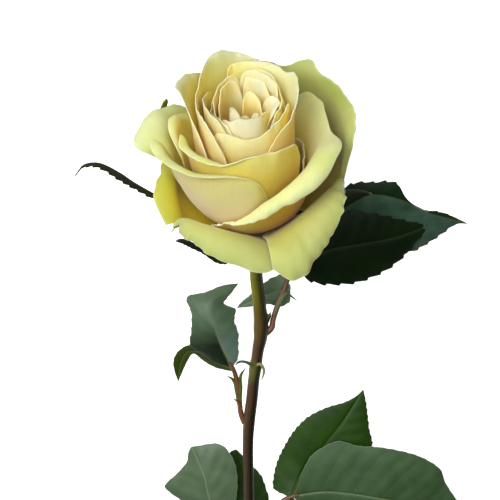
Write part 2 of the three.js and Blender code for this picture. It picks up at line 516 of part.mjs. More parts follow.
const stemWhole = join([
  hip, stemBar, axilBud, archStipule, hookStipule, lowerBud, ...PRICKLE_PLACES.map(prickle)]);
const CUT_BLOCK = 30;
const block = new THREE.BoxGeometry(CUT_BLOCK, CUT_BLOCK, CUT_BLOCK);
block.translate(0, -CUT_BLOCK / 2, 0);
block.rotateX(-radians(CUT_SLANT));
block.translate(2.4, CUT_END_Y, 3.3);
addPiece(rose, 'stem', geometryOf(stemWhole.subtract(solidOf(block))), stemBark);

// Leaves: each a stalk with its leaflets. A leaflet spans a midrib and two margins, from base to tip

const LEAFLET_TIP = 0.98; // the tip's last bit is left blunt
const LEAFLET_COLUMNS = 4;

function leafletSheet({ midrib, left, right }) {
  const [middleCurve, leftCurve, rightCurve] = [midrib, left, right]
    .map((points) => new THREE.CatmullRomCurve3(points.map(point)));
  const teeth = Math.round(middleCurve.getLength() / TOOTH_PITCH);
  const rows = [];
  for (let j = 0; j <= teeth * 2; j++) {
    const place = (LEAFLET_TIP * j) / (teeth * 2);
    const middle = middleCurve.getPointAt(place);
    const notch = j % 2 === 1 ? TOOTH_DEPTH : 0;
    const row = [];
    for (let i = 0; i <= LEAFLET_COLUMNS; i++) {
      const side = (2 * i) / LEAFLET_COLUMNS - 1;
      const margin = (side < 0 ? leftCurve : rightCurve).getPointAt(place);
      const width = margin.distanceTo(middle);
      const share = Math.abs(side) * (1 - Math.min(notch / width, 0.3));
      const spot = middle.clone().lerp(margin, share);
      spot.z += MARGIN_LIFT * width * 4 * Math.abs(side) * (1 - Math.abs(side));
      spot.z = Math.max(spot.z, LEAF_THICKNESS / 2 + 0.05);
      row.push(spot);
    }
    rows.push(row);
  }
  return sheetSolid(rows, LEAF_THICKNESS);
}

const stalk = (points, radii) => bar(points.map(point), radii, points.length * 2, 6);

const leaves = [
  { name: 'leaf_upper_right',
    stalks: [
      stalk([[6.5, -54.8, 19.7], [7.1, -54.2, 19.6], [7.6, -51, 19.3], [8.6, -47, 18.5], [10.4, -42.2, 17.1],
        [12.4, -38, 15.6], [14, -34, 14.6], [20, -27, 13.1], [28, -14.5, 10.5], [35, -6.5, 8.2], [37, -5, 8]],
        [1.1, 1.2, 1.2, 1.1, 1, 1, 1, 1, 0.9, 0.8, 0.6]),
      stalk([[8.4, -50, 19.2], [9.6, -46, 18.6], [12, -40.6, 17.6], [13.4, -39.2, 17.2], [15.2, -40.6, 17],
        [17.7, -42.8, 16.6]], [0.6, 0.7, 0.7, 0.6, 0.45, 0.2]),
    ],
    leaflets: [
      { midrib: [[20, -27, 13], [31.5, -21.5, 12.5], [44, -19.5, 11.5], [59, -17.5, 8.5], [74, -13.5, 4]],
        left: [[20.5, -25.5, 13], [26.5, -12, 12], [37.5, -6.5, 12], [49, -5.5, 10.5], [61, -9, 8],
          [74, -13.5, 4]],
        right: [[19.5, -28.5, 12.5], [20.5, -35, 10.5], [26, -38.5, 9], [34.5, -39.5, 8], [44, -38.5, 7.5],
          [56.5, -33, 6.5], [65.5, -25, 5.5], [74, -13.5, 4]] },
      { midrib: [[35, -6.5, 8], [40.5, -3, 8], [49, 1, 7.5], [61, -1.5, 6.5], [76, -9, 4], [90, -14, 0.6]],
        left: [[34.5, -5.5, 8], [35, 2.5, 7.5], [40.5, 6.5, 7], [49, 7, 6.5], [59, 6.5, 6], [63, -1, 5.5],
          [68.5, -6, 4.5], [78.5, -8, 2.5], [90, -14, 0.6]],
        right: [[35.5, -7.5, 7.8], [41, -18, 5.5], [53, -25.5, 4], [66, -26.5, 3], [73, -23, 2.5],
          [79.5, -18.5, 2], [85.5, -14, 1.3], [90, -14, 0.6]] },
      { midrib: [[15, -37.5, 15], [10.5, -39.5, 13.5], [3, -43, 11.5], [-7.5, -49, 9]],
        left: [[15, -38.5, 15], [15, -44.5, 13], [12, -47, 12.5], [5.5, -46.5, 11.5], [-1, -48, 10],
          [-7.5, -49, 9]],
        right: [[15, -36.5, 15], [12, -32, 14], [6.5, -34, 13], [0, -40.5, 11], [-6, -46.5, 9.5],
          [-7.5, -49, 9]] },
    ] },
  { name: 'leaf_mid_left',
    stalks: [
      stalk([[-6.4, -96.2, 16.8], [-6.5, -95, 16.8], [-6.4, -91, 17], [-6.6, -86, 17.2], [-7.5, -80, 17.6],
        [-8.6, -75, 18.1], [-10, -71.6, 18.5], [-11, -70, 18.9]], [1, 1.1, 1.1, 1.1, 1.1, 1, 0.9, 0.7]),
      stalk([[-6.9, -90, 17.3], [-7.7, -84, 17.6], [-9.3, -78.4, 18.1], [-11.8, -76.4, 18.6]],
        [0.8, 0.9, 0.7, 0.2]),
      stalk([[-6.3, -88, 17.4], [-6, -82, 17.9], [-6, -76.4, 18.5], [-4, -72.4, 19.6]], [0.8, 0.8, 0.7, 0.2]),
      stalk([[-5.9, -91.5, 17.4], [-6.9, -88.8, 18.4], [-9.1, -86.5, 19.4]], [0.9, 0.7, 0.2]),
    ],
    leaflets: [
      { midrib: [[-10, -72, 18.5], [-14, -62, 20.5], [-17, -53, 22], [-19.5, -46.5, 20.5], [-17.5, -41.5, 18],
          [-13, -38.5, 15.5], [-7, -36.5, 13]],
        left: [[-11, -72.2, 18.3], [-17, -71, 17], [-21.5, -68, 16.5], [-27.5, -63, 17], [-27, -55.5, 18],
          [-27, -48, 17], [-29, -42.5, 13.5], [-21, -40, 14], [-14, -37, 14], [-7, -36.5, 13]],
        right: [[-9.2, -71.8, 18.5], [-7, -68.5, 18], [-6.8, -61.5, 18], [-6.8, -57, 18], [-8.5, -51.5, 17.5],
          [-8, -47, 16], [-11.5, -45.5, 16], [-13, -44, 16.5], [-10.5, -41, 15], [-7, -36.5, 13]] },
      { midrib: [[-9.8, -73.5, 18], [-17.5, -71.5, 14.5], [-24, -68, 12.5], [-29, -69, 10.5], [-32, -76, 8],
          [-33, -84.5, 5.5]],
        left: [[-9.4, -74.6, 17.8], [-16.5, -74.5, 14], [-21.5, -72.5, 12], [-26, -69, 11.5], [-29, -74, 9],
          [-31.5, -80.5, 6.5], [-33, -84.5, 5.5]],
        right: [[-10.2, -72.6, 17.8], [-17.5, -68, 14.2], [-23, -64.5, 12.6], [-28.5, -65, 11.6],
          [-33, -68.5, 10.5], [-35, -73.5, 8.5], [-34.5, -79, 7], [-33, -84.5, 5.5]] },
    ] },
  { name: 'leaf_lower_left',
    stalks: [
      stalk([[-3.15, -185.5, 11.3], [-4, -185.4, 11.3], [-5.4, -181, 11.1], [-7.2, -169, 10.5],
        [-9, -158.5, 9.7], [-13, -152.5, 11], [-17, -147, 12.1]], [1.3, 1.3, 1.2, 1.1, 1, 0.8, 0.6]),
      stalk([[-8.8, -159.5, 9.7], [-4.5, -156.5, 8.5], [-1, -153, 7.9]], [0.9, 0.8, 0.6]),
    ],
    leaflets: [
      { midrib: [[-16, -148.5, 12], [-20, -136, 12.5], [-22.5, -124.5, 12], [-27.5, -113.5, 9.5]],
        left: [[-17, -149, 11.8], [-25.5, -146, 9], [-32.5, -140, 7.5], [-36.5, -137.5, 6.5],
          [-39.5, -134.5, 5.5],
          [-33.5, -126.5, 8], [-29.5, -121, 8.5], [-29, -117, 8.8], [-27.5, -113.5, 9.5]],
        right: [[-15, -148, 12], [-9.5, -142, 11.5], [-7.5, -133.5, 11], [-8, -123, 10.5], [-10, -117.5, 10],
          [-13.5, -113, 9.5], [-17, -112, 9], [-23.5, -113, 9], [-27.5, -113.5, 9.5]] },
      { midrib: [[-1, -154.5, 8], [-2, -142.5, 7], [-4, -130.5, 5], [-8, -118, 2.5]],
        left: [[-2, -154.5, 7.8], [-10, -147, 5.5], [-12.5, -134.5, 4.5], [-12.5, -125, 3.5], [-11, -119, 3],
          [-8, -118, 2.5]],
        right: [[0, -154.5, 8], [6, -148, 6], [6.5, -140.5, 5.5], [5, -135, 5], [3, -129.5, 4.5],
          [-0.5, -125.5, 4], [-5, -121, 3], [-8, -118, 2.5]] },
      { midrib: [[-8.8, -158.5, 9.7], [-19, -167, 8], [-28.5, -179.5, 5.5], [-37, -195, 0.6]],
        left: [[-8.4, -160, 9.6], [-12.5, -176, 6], [-21, -188, 4], [-30, -194.5, 2.5], [-37, -195, 0.6]],
        right: [[-9.6, -157.8, 9.6], [-23, -160, 6.5], [-33.5, -170, 4.5], [-38.5, -182.5, 3],
          [-37, -195, 0.6]] },
    ] },
  { name: 'leaf_lower_right',
    stalks: [
      stalk([[2.35, -161, 12.9], [3.2, -160.9, 12.9], [4.6, -156.5, 13.1], [6, -147, 13.1],
        [10.5, -139.5, 12.6], [17, -135.8, 12.1], [19, -135.5, 12]], [1.3, 1.3, 1.2, 1.1, 1, 1, 0.7]),
    ],
    leaflets: [
      { midrib: [[16, -136, 12], [21, -125, 8.5], [29.5, -115, 7], [38, -104, 5.5], [47, -89.5, 2.5]],
        left: [[15, -136.5, 12], [8, -134, 8.5], [8, -128.5, 7.5], [9.5, -122, 6.5], [12.5, -115, 6],
          [16.5, -108, 5.5], [22.5, -101.5, 5], [31, -97, 4.5], [39.5, -94.5, 4], [44.5, -92, 3],
            [47, -89.5, 2.5]],
        right: [[17, -135.5, 11.6], [26.5, -133, 7], [39.5, -126.5, 6], [49.5, -121, 5.5], [51.5, -114.5, 5],
          [50, -107, 4.5], [48.5, -95.5, 3], [47, -89.5, 2.5]] },
      { midrib: [[17, -135.8, 12], [30.5, -134, 12], [43.5, -135.5, 11.5], [59, -139, 10], [74.5, -142.5, 7],
          [91.5, -144, 3]],
        left: [[17.2, -134.8, 12.2], [19, -129.5, 12], [21, -123.5, 11.5], [24.5, -117, 10.8],
          [29, -113.5, 10.5],
          [36, -110.5, 10], [45, -113, 9.5], [53, -113.5, 9.5], [63, -115.5, 9], [72.5, -119, 8],
            [81, -125.5, 6.5],
          [83.5, -132.5, 5], [91.5, -144, 3]],
        right: [[17.2, -136.8, 12], [24, -146, 10], [37.5, -153.5, 9], [53, -157.5, 8], [68.5, -158, 6],
          [82, -153, 4.5], [91.5, -144, 3]] },
      { midrib: [[16, -136.5, 12], [22, -154, 8.5], [30, -169.5, 5.5], [39, -189, 0.6]],
        left: [[16.8, -136.8, 11.8], [29.5, -154, 7], [39, -167, 4.5], [42, -179.5, 2.5], [39, -189, 0.6]],
        right: [[15, -137, 11.8], [14, -154.5, 8], [18.5, -170.5, 5], [27.5, -183, 2.5], [39, -189, 0.6]] },
    ] },
];

for (const { name, stalks, leaflets } of leaves) {
  addPiece(rose, name, geometryOf(join([...stalks, ...leaflets.map(leafletSheet)])), leafGreen);
}

// The origin is the middle of the rose's box, on the table
rose.updateMatrixWorld(true);
const box = new THREE.Box3().setFromObject(rose, true);
const middle = box.getCenter(new THREE.Vector3());
rose.position.set(-middle.x, -middle.y, 0);

export default rose;
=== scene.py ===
import math
import random

import bpy
import numpy as np
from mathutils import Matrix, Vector


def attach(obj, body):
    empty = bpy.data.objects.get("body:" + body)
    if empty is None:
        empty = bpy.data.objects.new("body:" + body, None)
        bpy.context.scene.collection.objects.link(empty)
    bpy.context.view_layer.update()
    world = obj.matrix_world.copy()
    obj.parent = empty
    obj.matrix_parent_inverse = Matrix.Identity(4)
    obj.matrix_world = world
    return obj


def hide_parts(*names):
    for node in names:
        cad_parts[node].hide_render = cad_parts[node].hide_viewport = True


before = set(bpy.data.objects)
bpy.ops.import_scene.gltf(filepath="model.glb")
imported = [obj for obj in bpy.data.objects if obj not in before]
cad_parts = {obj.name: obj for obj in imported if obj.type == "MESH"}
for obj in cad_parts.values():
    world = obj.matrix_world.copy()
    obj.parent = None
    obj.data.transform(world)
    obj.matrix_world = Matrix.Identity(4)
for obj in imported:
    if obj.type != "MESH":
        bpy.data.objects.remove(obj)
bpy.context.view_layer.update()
bpy.ops.object.select_all(action="DESELECT")


# Stem
# A rose's stem with its hip, in one piece: green and smooth under the bloom, brown bark below.
# It grew as one, so its nodes, buds and prickles swell out of it without a seam.

MM = 0.001
SPOT_UNDER_BLOOM = np.array([-7.851, 136.226, 0.0])  # on the table; all places are millimetres from this spot
HIP_SHOULDER = np.array([0.0, 0.0, 30.0])
BLOOM_RISE = math.radians(20)
BLOOM_LEAN = math.radians(4)
BLOOM_AXIS = np.array([
    -math.sin(BLOOM_LEAN) * math.cos(BLOOM_RISE),
    math.cos(BLOOM_LEAN) * math.cos(BLOOM_RISE),
    math.sin(BLOOM_RISE),
])
BLOOM_RIGHT = np.array([1.0, 0.0, 0.0]) - BLOOM_AXIS * BLOOM_AXIS[0]
BLOOM_RIGHT /= np.linalg.norm(BLOOM_RIGHT)
BLOOM_DOWN = np.cross(BLOOM_AXIS, BLOOM_RIGHT)

HIP_ROWS = [  # height along the bloom's axis, and radius
    (9.5, 0.4), (6, 3.7), (3, 6.7), (0.2, 9.4), (-1.8, 10.1), (-4, 9.9), (-6.4, 9), (-9.2, 7.1), (-11.8, 5.1),
    (-14, 3.9), (-17, 3.4)]
STEM_ROWS = [  # x, y, z and radius
    (0.5, -28, 22.3, 2.75), (1.7, -41, 20.9, 2.75), (2.4, -49, 20.2, 3), (2.6, -54, 19.8, 3.3),
    (2.3, -59, 19.4, 2.9), (1.4, -64, 19, 2.6), (0.9, -68, 18.8, 2.5), (0.4, -71.5, 18.5, 2.85),
    (-0.3, -77, 18.1, 2.55), (-1.3, -88, 17.3, 2.6), (-2.4, -98, 16.6, 2.65), (-2.9, -108, 16.1, 2.4),
    (-2.8, -122, 15.3, 2.3), (-2.5, -136.5, 14.4, 2.4), (-1.8, -151, 13.5, 2.7), (-1.2, -160, 12.9, 3.1),
    (-0.6, -170, 12.3, 2.6), (0.2, -184, 11.4, 3), (0.9, -196, 10.7, 2.6), (2, -220, 9.3, 2.6),
    (2.8, -250, 7.6, 3.1), (3, -262, 6.9, 2.65), (3, -300, 4.7, 2.7), (2.4, -350, 2.6, 2.8)]
AXIL_BUD_ROWS = [
    (3.8, -53.5, 20, 1.1), (5, -50.6, 20.6, 1.1), (6.1, -48, 21.1, 0.85), (6.8, -45.9, 21.3, 0.25)]
LOWER_BUD_ROWS = [(2.8, -251, 9.5, 1.5), (2.4, -247.4, 11, 1.2), (2.2, -244, 11.5, 0.35)]
PRICKLES = [(-208, 30), (-231, 160), (-277, 70), (-303, 200)]  # place along the stem, and degrees round it
PRICKLE_FOOT = 2.5  # where a prickle leaves the bark, from the stem's middle
PRICKLE_LENGTH = 4.5
CUT_PLACE = (2.4, -340.7, 3.3)
CUT_SLANT = math.radians(40)
CUT_DEPTH = 6  # how far the slanting cut reaches past its middle
BARK_GRAIN = 0.4  # the remeshed bark's face size


def place(points):
    """Millimetres from the spot under the bloom, as the model's metres."""
    return (np.asarray(points, float) + SPOT_UNDER_BLOOM) * MM


def from_bloom(azimuth, radius, height):
    """A place round the bloom's axis, in degrees and millimetres, as millimetres from the spot under it.

    All three may be arrays of one length, for as many places.
    """
    angle = np.radians(azimuth)
    return (HIP_SHOULDER + np.multiply.outer(radius * np.cos(angle), BLOOM_RIGHT)
            + np.multiply.outer(radius * np.sin(angle), BLOOM_DOWN)
            + np.multiply.outer(height, BLOOM_AXIS))


def add_tube(name, rows):
    """A round shoot through rows of x, y, z and radius, drawn as a curve and turned into a mesh."""
    bpy.ops.curve.primitive_bezier_curve_add()
    tube = bpy.context.object
    tube.name = name
    tube.data.bevel_depth = MM
    tube.data.bevel_resolution = 4
    tube.data.resolution_u = 8
    tube.data.use_fill_caps = True
    tube.data.splines[0].bezier_points.add(len(rows) - 2)
    for bead, (x, y, z, radius) in zip(tube.data.splines[0].bezier_points, rows):
        bead.co = place((x, y, z))
        bead.radius = radius
        bead.handle_left_type = bead.handle_right_type = "AUTO"
    bpy.ops.object.convert(target="MESH")
    return bpy.context.object


def join(pieces, name):
    """Makes one mesh of several, under a new name."""
    bpy.ops.object.select_all(action="DESELECT")
    for piece in pieces:
        piece.select_set(True)
    bpy.context.view_layer.objects.active = pieces[0]
    bpy.ops.object.join()
    pieces[0].name = name
    return pieces[0]


def apply_modifier(piece, kind, **settings):
    """Adds a modifier with its settings and applies it."""
    bpy.context.view_layer.objects.active = piece
    modifier = piece.modifiers.new(kind.title(), kind)
    for key, value in settings.items():
        setattr(modifier, key, value)
    bpy.ops.object.modifier_apply(modifier=modifier.name)


def linear(hex_colour):
    """An sRGB hex colour as linear red, green, blue and alpha."""
    channels = [int(hex_colour[k:k + 2], 16) / 255 for k in (1, 3, 5)]
    return tuple(c / 12.92 if c <= 0.04045 else ((c + 0.055) / 1.055) ** 2.4 for c in channels) + (1.0,)


def add_node(material, kind, inputs, stops=None, **settings):
    """Adds a node. A socket among the inputs is linked, any other value is set, and stops fill a colour ramp."""
    node = material.node_tree.nodes.new(kind)
    for key, value in settings.items():
        setattr(node, key, value)
    for key, value in inputs.items():
        if isinstance(value, bpy.types.NodeSocket):
            material.node_tree.links.new(value, node.inputs[key])
        else:
            node.inputs[key].default_value = value
    if stops:
        ramp = node.color_ramp.elements
        while len(ramp) < len(stops):
            ramp.new(1)
        for element, (position, colour) in zip(ramp, stops):
            element.position = position
            element.color = linear(colour)
    return node


def new_material(name):
    """An empty material and its shader."""
    material = bpy.data.materials.new(name)
    material.use_nodes = True
    return material, material.node_tree.nodes["Principled BSDF"]


def connect(material, shader, **links):
    """Links sockets to the shader's inputs, named with underscores for spaces."""
    for key, socket in links.items():
        material.node_tree.links.new(socket, shader.inputs[key.replace("_", " ")])


def hand_over(piece, slot, *nodes):
    """Puts a finished piece on the rose in the place of its CAD nodes."""
    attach(piece, "root")
    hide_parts(*nodes)


def prickle_rows(y, degrees):
    """A prickle's broad foot, and its tip that hooks towards the cut end."""
    ys = [-row[1] for row in STEM_ROWS]
    centre = np.array([np.interp(-y, ys, [row[k] for row in STEM_ROWS]) for k in range(3)])
    outward = np.array([math.cos(math.radians(degrees)), 0, math.sin(math.radians(degrees))])
    reaches = [  # outwards, along the stem, and radius
        (1.2, 1.4, 2.1), (2.7, 0.5, 1.5), (4.6, -0.9, 0.75), (PRICKLE_FOOT + PRICKLE_LENGTH, -3, 0.15)]
    return [(*(centre + outward * out + np.array([0, along, 0])), radius) for out, along, radius in reaches]


neck_rows = [(*from_bloom(0, 0, height), radius) for height, radius in HIP_ROWS]
shoots = [add_tube("shoot", neck_rows + STEM_ROWS), add_tube("axil_bud", AXIL_BUD_ROWS)]
shoots.append(add_tube("bud", LOWER_BUD_ROWS))
shoots += [add_tube("prickle", prickle_rows(y, degrees)) for y, degrees in PRICKLES]
stem = join(shoots, "bark_stem")
apply_modifier(stem, "REMESH", mode="VOXEL", voxel_size=BARK_GRAIN * MM)
apply_modifier(stem, "SMOOTH", factor=0.5, iterations=5)
bpy.ops.object.mode_set(mode="EDIT")
bpy.ops.mesh.select_all(action="SELECT")
bpy.ops.mesh.bisect(
    plane_co=place(CUT_PLACE), plane_no=(0, -math.cos(CUT_SLANT), math.sin(CUT_SLANT)),
    use_fill=True, clear_outer=True)
bpy.ops.object.mode_set(mode="OBJECT")
bpy.ops.object.shade_smooth_by_angle(angle=math.radians(50))

# The withered base of a leaf at the upper node, with the two curling halves of its stipule
ARCH_ROWS = [
    (-0.4, -72.2, 19.5, 1), (-2, -69.7, 21.6, 0.75), (-4.4, -68.2, 22.6, 0.55), (-6.8, -68.4, 22.5, 0.5),
    (-8, -69.8, 21.9, 0.2)]
HOOK_ROWS = [
    (0.3, -71, 20.2, 0.8), (2, -69.9, 21.1, 0.7), (3.4, -71.2, 21.2, 0.6), (3.8, -74.4, 20.4, 0.5),
    (2.9, -77.6, 19.9, 0.2)]
arch = add_tube("stipule_arch", ARCH_ROWS)
hook = add_tube("stipule_hook", HOOK_ROWS)
for stipule in (arch, hook):
    bpy.context.view_layer.objects.active = stipule
    bpy.ops.object.shade_smooth()

# Young rose bark: a waxy, satin skin, yellow-green where the shade of the bloom keeps it young, flushed
# purple-brown by the sun below the first leaf, with painted light down its left side and painted shade, nearly
# black, down its right side. Its blotches are 11 mm wide, and its fibres 0.7 mm wide and 12 mm long.
bark, bark_shader = new_material("young_rose_bark")
here = add_node(bark, "ShaderNodeTexCoord", {}).outputs["Object"]
along = add_node(bark, "ShaderNodeSeparateXYZ", {"Vector": here}).outputs["Y"]
blotches = add_node(bark, "ShaderNodeTexNoise", {"Vector": here, "Scale": 90.0, "Detail": 3.0}).outputs["Fac"]
wander = add_node(bark, "ShaderNodeMath", {0: blotches, 1: 0.014}, operation="MULTIPLY").outputs[0]
level = add_node(bark, "ShaderNodeMath", {0: along, 1: wander}, operation="ADD").outputs[0]
height_share = add_node(bark, "ShaderNodeMapRange", {
    "Value": level, "From Min": -0.2, "From Max": 0.145}).outputs["Result"]
bark_colour = add_node(bark, "ShaderNodeValToRGB", {"Fac": height_share}, stops=[
    (0.0, "#2A2716"), (0.4, "#2F2519"), (0.6, "#36291C"), (0.765, "#44321F"), (0.775, "#4C4A22"),
    (0.786, "#54542A"), (0.793, "#48331F"), (0.822, "#4A3620"), (0.86, "#584A16"), (0.9, "#6C6E1C"),
    (1.0, "#7C8C2C")]).outputs["Color"]
stretched = add_node(bark, "ShaderNodeMapping", {"Vector": here, "Scale": (1, 0.06, 1)}).outputs["Vector"]
fibres = add_node(bark, "ShaderNodeTexNoise", {
    "Vector": stretched, "Scale": 1400.0, "Detail": 2.0}).outputs["Fac"]
fibre_shade = add_node(bark, "ShaderNodeMapRange", {
    "Value": fibres, "From Min": 0.3, "From Max": 0.7, "To Min": 0.8, "To Max": 1.12}).outputs["Result"]
# Painted light and shade: lighter on the side turned to the left, nearly black on the side turned to the right
turned = add_node(bark, "ShaderNodeSeparateXYZ", {
    "Vector": add_node(bark, "ShaderNodeNewGeometry", {}).outputs["Normal"]}).outputs["X"]
painted_side_light = add_node(bark, "ShaderNodeMapRange", {
    "Value": turned, "From Min": -0.9, "From Max": 0.65, "To Min": 1.6, "To Max": 0.1}).outputs["Result"]
grain_and_painted_side_light = add_node(bark, "ShaderNodeMath", {0: fibre_shade, 1: painted_side_light}, operation="MULTIPLY").outputs[0]
bark_final = add_node(bark, "ShaderNodeVectorMath", {
    0: bark_colour, 1: grain_and_painted_side_light}, operation="MULTIPLY").outputs[0]
bark_bump = add_node(bark, "ShaderNodeBump", {
    "Height": fibres, "Strength": 0.35, "Distance": 0.0002}).outputs["Normal"]
bark_shader.inputs["Roughness"].default_value = 0.42
bark_shader.inputs["Specular IOR Level"].default_value = 0.25
connect(bark, bark_shader, Base_Color=bark_final, Normal=bark_bump)

# The cut: pale pith, matt and a little fibrous, with a grain of 0.4 mm
pith, pith_shader = new_material("cut_pith")
here = add_node(pith, "ShaderNodeTexCoord", {}).outputs["Object"]
grain = add_node(pith, "ShaderNodeTexNoise", {"Vector": here, "Scale": 2500.0}).outputs["Fac"]
pith_colour = add_node(pith, "ShaderNodeValToRGB", {"Fac": grain}, stops=[
    (0.3, "#A9A878"), (0.7, "#D5D2B0")]).outputs["Color"]
pith_shader.inputs["Roughness"].default_value = 0.8
connect(pith, pith_shader, Base_Color=pith_colour)

# The stipule's halves: thin soft tissue, dark green on the arch and pale green on the hook
stipule_green, stipule_shader = new_material("stipule_tissue")
here = add_node(stipule_green, "ShaderNodeTexCoord", {}).outputs["Object"]
across = add_node(stipule_green, "ShaderNodeSeparateXYZ", {"Vector": here}).outputs["X"]
side = add_node(stipule_green, "ShaderNodeMapRange", {
    "Value": across, "From Min": -0.0125, "From Max": -0.0065}).outputs["Result"]
stipule_colour = add_node(stipule_green, "ShaderNodeValToRGB", {"Fac": side}, stops=[
    (0.0, "#2C3A14"), (0.5, "#4E5E26"), (1.0, "#74843E")]).outputs["Color"]
stipule_shader.inputs["Roughness"].default_value = 0.5
connect(stipule_green, stipule_shader, Base_Color=stipule_colour)

stem.data.materials.append(bark)
stem.data.materials.append(pith)
for face in stem.data.polygons:
    lies_on_cut = face.normal.y < -0.7 and face.center.y < place(CUT_PLACE)[1] + CUT_DEPTH * MM
    face.material_index = 1 if lies_on_cut else 0
for stipule in (arch, hook):
    stipule.data.materials.append(stipule_green)
stem = join([stem, arch, hook], "bark_stem")
hand_over(stem, "stem_bark", "stem")


# Guard petals
# The five outermost petals: leathery and greenish, the two at the front rolled back over the hip.
# Each is a thin sheet that stands in the hip's cone by a narrow foot.

SEAT_LINE = 10.2  # radius plus height of every petal's foot
CLAW_HALF_ANGLE = 22
PETAL_THICKNESS = 0.42
PETAL_GRAIN = 0.9  # the petals' face size
FOOT_TURN = 0.45  # share of the wall in which a petal turns from its foot's azimuth to its rim's
WAVE_REACH = 11  # how far from the margin its waves die away
CRIMP_REACH = 6  # and its finer crimps
SHORTEST_LIP = 0.4


def between_rows(rows, places):
    """Values on a smooth curve through given rows, at places counted in rows."""
    rows = np.asarray(rows, float)
    ends = np.vstack([2 * rows[0] - rows[1], rows, 2 * rows[-1] - rows[-2]])
    start = np.clip(np.floor(places).astype(int), 0, len(rows) - 2)
    t = (places - start)[:, None]
    p0, p1, p2, p3 = (ends[start + k] for k in range(4))
    return 0.5 * (2 * p1 + (p2 - p0) * t + (2 * p0 - 5 * p1 + 4 * p2 - p3) * t ** 2
                  + (3 * p1 - p0 - 3 * p2 + p3) * t ** 3)


def smooth_step(value):
    """A soft step from 0 to 1."""
    value = np.clip(value, 0, 1)
    return value * value * (3 - 2 * value)


def petal_sheet(petal, across, up, ripple, seed):
    """A petal's points and, for each, millimetres across, share of the way up and distance from the margin.

    The wall leaves the foot at petal["start"] degrees from the axis and bellies out by petal["belly"]. Beyond
    the wall's rim the lip rolls outwards by an uneven length. ripple scales the waves and crimps of the
    margin. across and up run from 0 to 1.
    """
    rim = np.asarray(petal["rim"], float)
    azimuth, rim_radius, rim_height, lean, lip, roll = between_rows(rim, across * (len(rim) - 1)).T
    chance = random.Random(seed)
    phases = [chance.uniform(0, 2 * math.pi) for _ in range(4)]
    arc = rim_radius * np.radians(azimuth)
    uneven = 0.3 * np.sin(arc / 0.8 + phases[0]) * np.sin(arc / 4) + 0.4 * np.sin(arc / 2.1 + phases[1])
    lip = np.maximum(lip, SHORTEST_LIP) + uneven * np.minimum(1, 0.35 + lip / 12)
    roll = np.maximum(np.radians(roll), 1e-3)
    lean = np.radians(lean)
    start = math.radians(petal["start"])
    foot_radius = petal["foot"]
    foot_height = SEAT_LINE - petal["foot"]
    foot_azimuth = petal["foot_azimuth"] + CLAW_HALF_ANGLE * (2 * across - 1)
    chord = np.hypot(rim_radius - foot_radius, rim_height - foot_height)
    wall_share = chord.max() / (chord.max() + rim[:, 4].max())
    s = np.minimum(up / wall_share, 1)  # the share of the wall below a point
    t = np.maximum((up - wall_share) / (1 - wall_share), 0)  # and of the lip
    from_foot = 2 * s ** 3 - 3 * s ** 2 + 1
    from_start = (s ** 3 - 2 * s ** 2 + s) * petal["belly"] * chord
    from_end = (s ** 3 - s ** 2) * chord
    turned = lean + roll * t
    bend = lip / roll
    radius = (from_foot * foot_radius + from_start * math.sin(start) + (1 - from_foot) * rim_radius
              + from_end * np.sin(lean) + bend * (np.cos(lean) - np.cos(turned)))
    height = (from_foot * foot_height + from_start * math.cos(start) + (1 - from_foot) * rim_height
              + from_end * np.cos(lean) + bend * (np.sin(turned) - np.sin(lean)))
    below_rim = (1 - s) * chord + (1 - t) * lip
    wave = np.sin(arc / 3.4 + phases[2]) * 0.8 + np.sin(arc / 1.45 + phases[3] + np.sin(arc / 5)) * 0.4
    crimp = 0.35 * np.sin(arc / 0.72 + phases[1] + 1.6 * np.sin(arc / 5.5))
    crimp = crimp * smooth_step(1 - below_rim / CRIMP_REACH)
    swell = ripple * (wave * smooth_step(1 - below_rim / WAVE_REACH) + crimp)
    radius = radius + swell * np.cos(turned)
    height = height - swell * np.sin(turned)
    angle = foot_azimuth + (azimuth - foot_azimuth) * smooth_step(s / FOOT_TURN)
    width = np.radians(rim[-1, 0] - rim[0, 0]) * radius
    from_side = np.minimum(across, 1 - across) * width
    from_margin = np.minimum(below_rim, from_side + 0.3)
    details = np.stack([across * width, 1 - below_rim / (chord + lip), from_margin], axis=1)
    return from_bloom(angle, radius, height), details


def add_sheet(name, columns, rows, shape, thickness, materials):
    """A grid shaped by shape(across, up) and thickened.

    The materials are those of its outer face, its inner face and its margin. The vertex attribute "sheet"
    keeps the details that shape gives of every point, for the materials.
    """
    bpy.ops.mesh.primitive_grid_add(x_subdivisions=columns, y_subdivisions=rows, size=1)
    sheet = bpy.context.object
    sheet.name = name
    flat = np.array([vertex.co[:2] for vertex in sheet.data.vertices]) + 0.5
    points, details = shape(flat[:, 0], flat[:, 1])
    sheet.data.vertices.foreach_set("co", place(points).ravel())
    attribute = sheet.data.attributes.new("sheet", "FLOAT_VECTOR", "POINT")
    attribute.data.foreach_set("vector", np.asarray(details, float).ravel())
    for material in materials:
        sheet.data.materials.append(material)
    sheet.data.update()
    apply_modifier(
        sheet, "SOLIDIFY", thickness=thickness * MM, offset=0, material_offset=1, material_offset_rim=2)
    bpy.ops.object.shade_smooth_by_angle(angle=math.radians(60))
    return sheet


def add_petal(petal, materials, ripple, seed):
    """One petal, with faces of one size however large it is."""
    rim = np.asarray(petal["rim"], float)
    width = np.radians(rim[-1, 0] - rim[0, 0]) * rim[:, 1].max()
    length = np.hypot(rim[:, 1] - petal["foot"], rim[:, 2]).max() + rim[:, 4].max()
    return add_sheet(
        petal["name"] + "_petal", round(width / PETAL_GRAIN), round(length / PETAL_GRAIN),
        lambda across, up: petal_sheet(petal, across, up, ripple, seed), PETAL_THICKNESS, materials)


PAINTED_SHADE_SIDE = (0.75, -0.35, -0.5)  # away from the key light: the side given painted golden shade
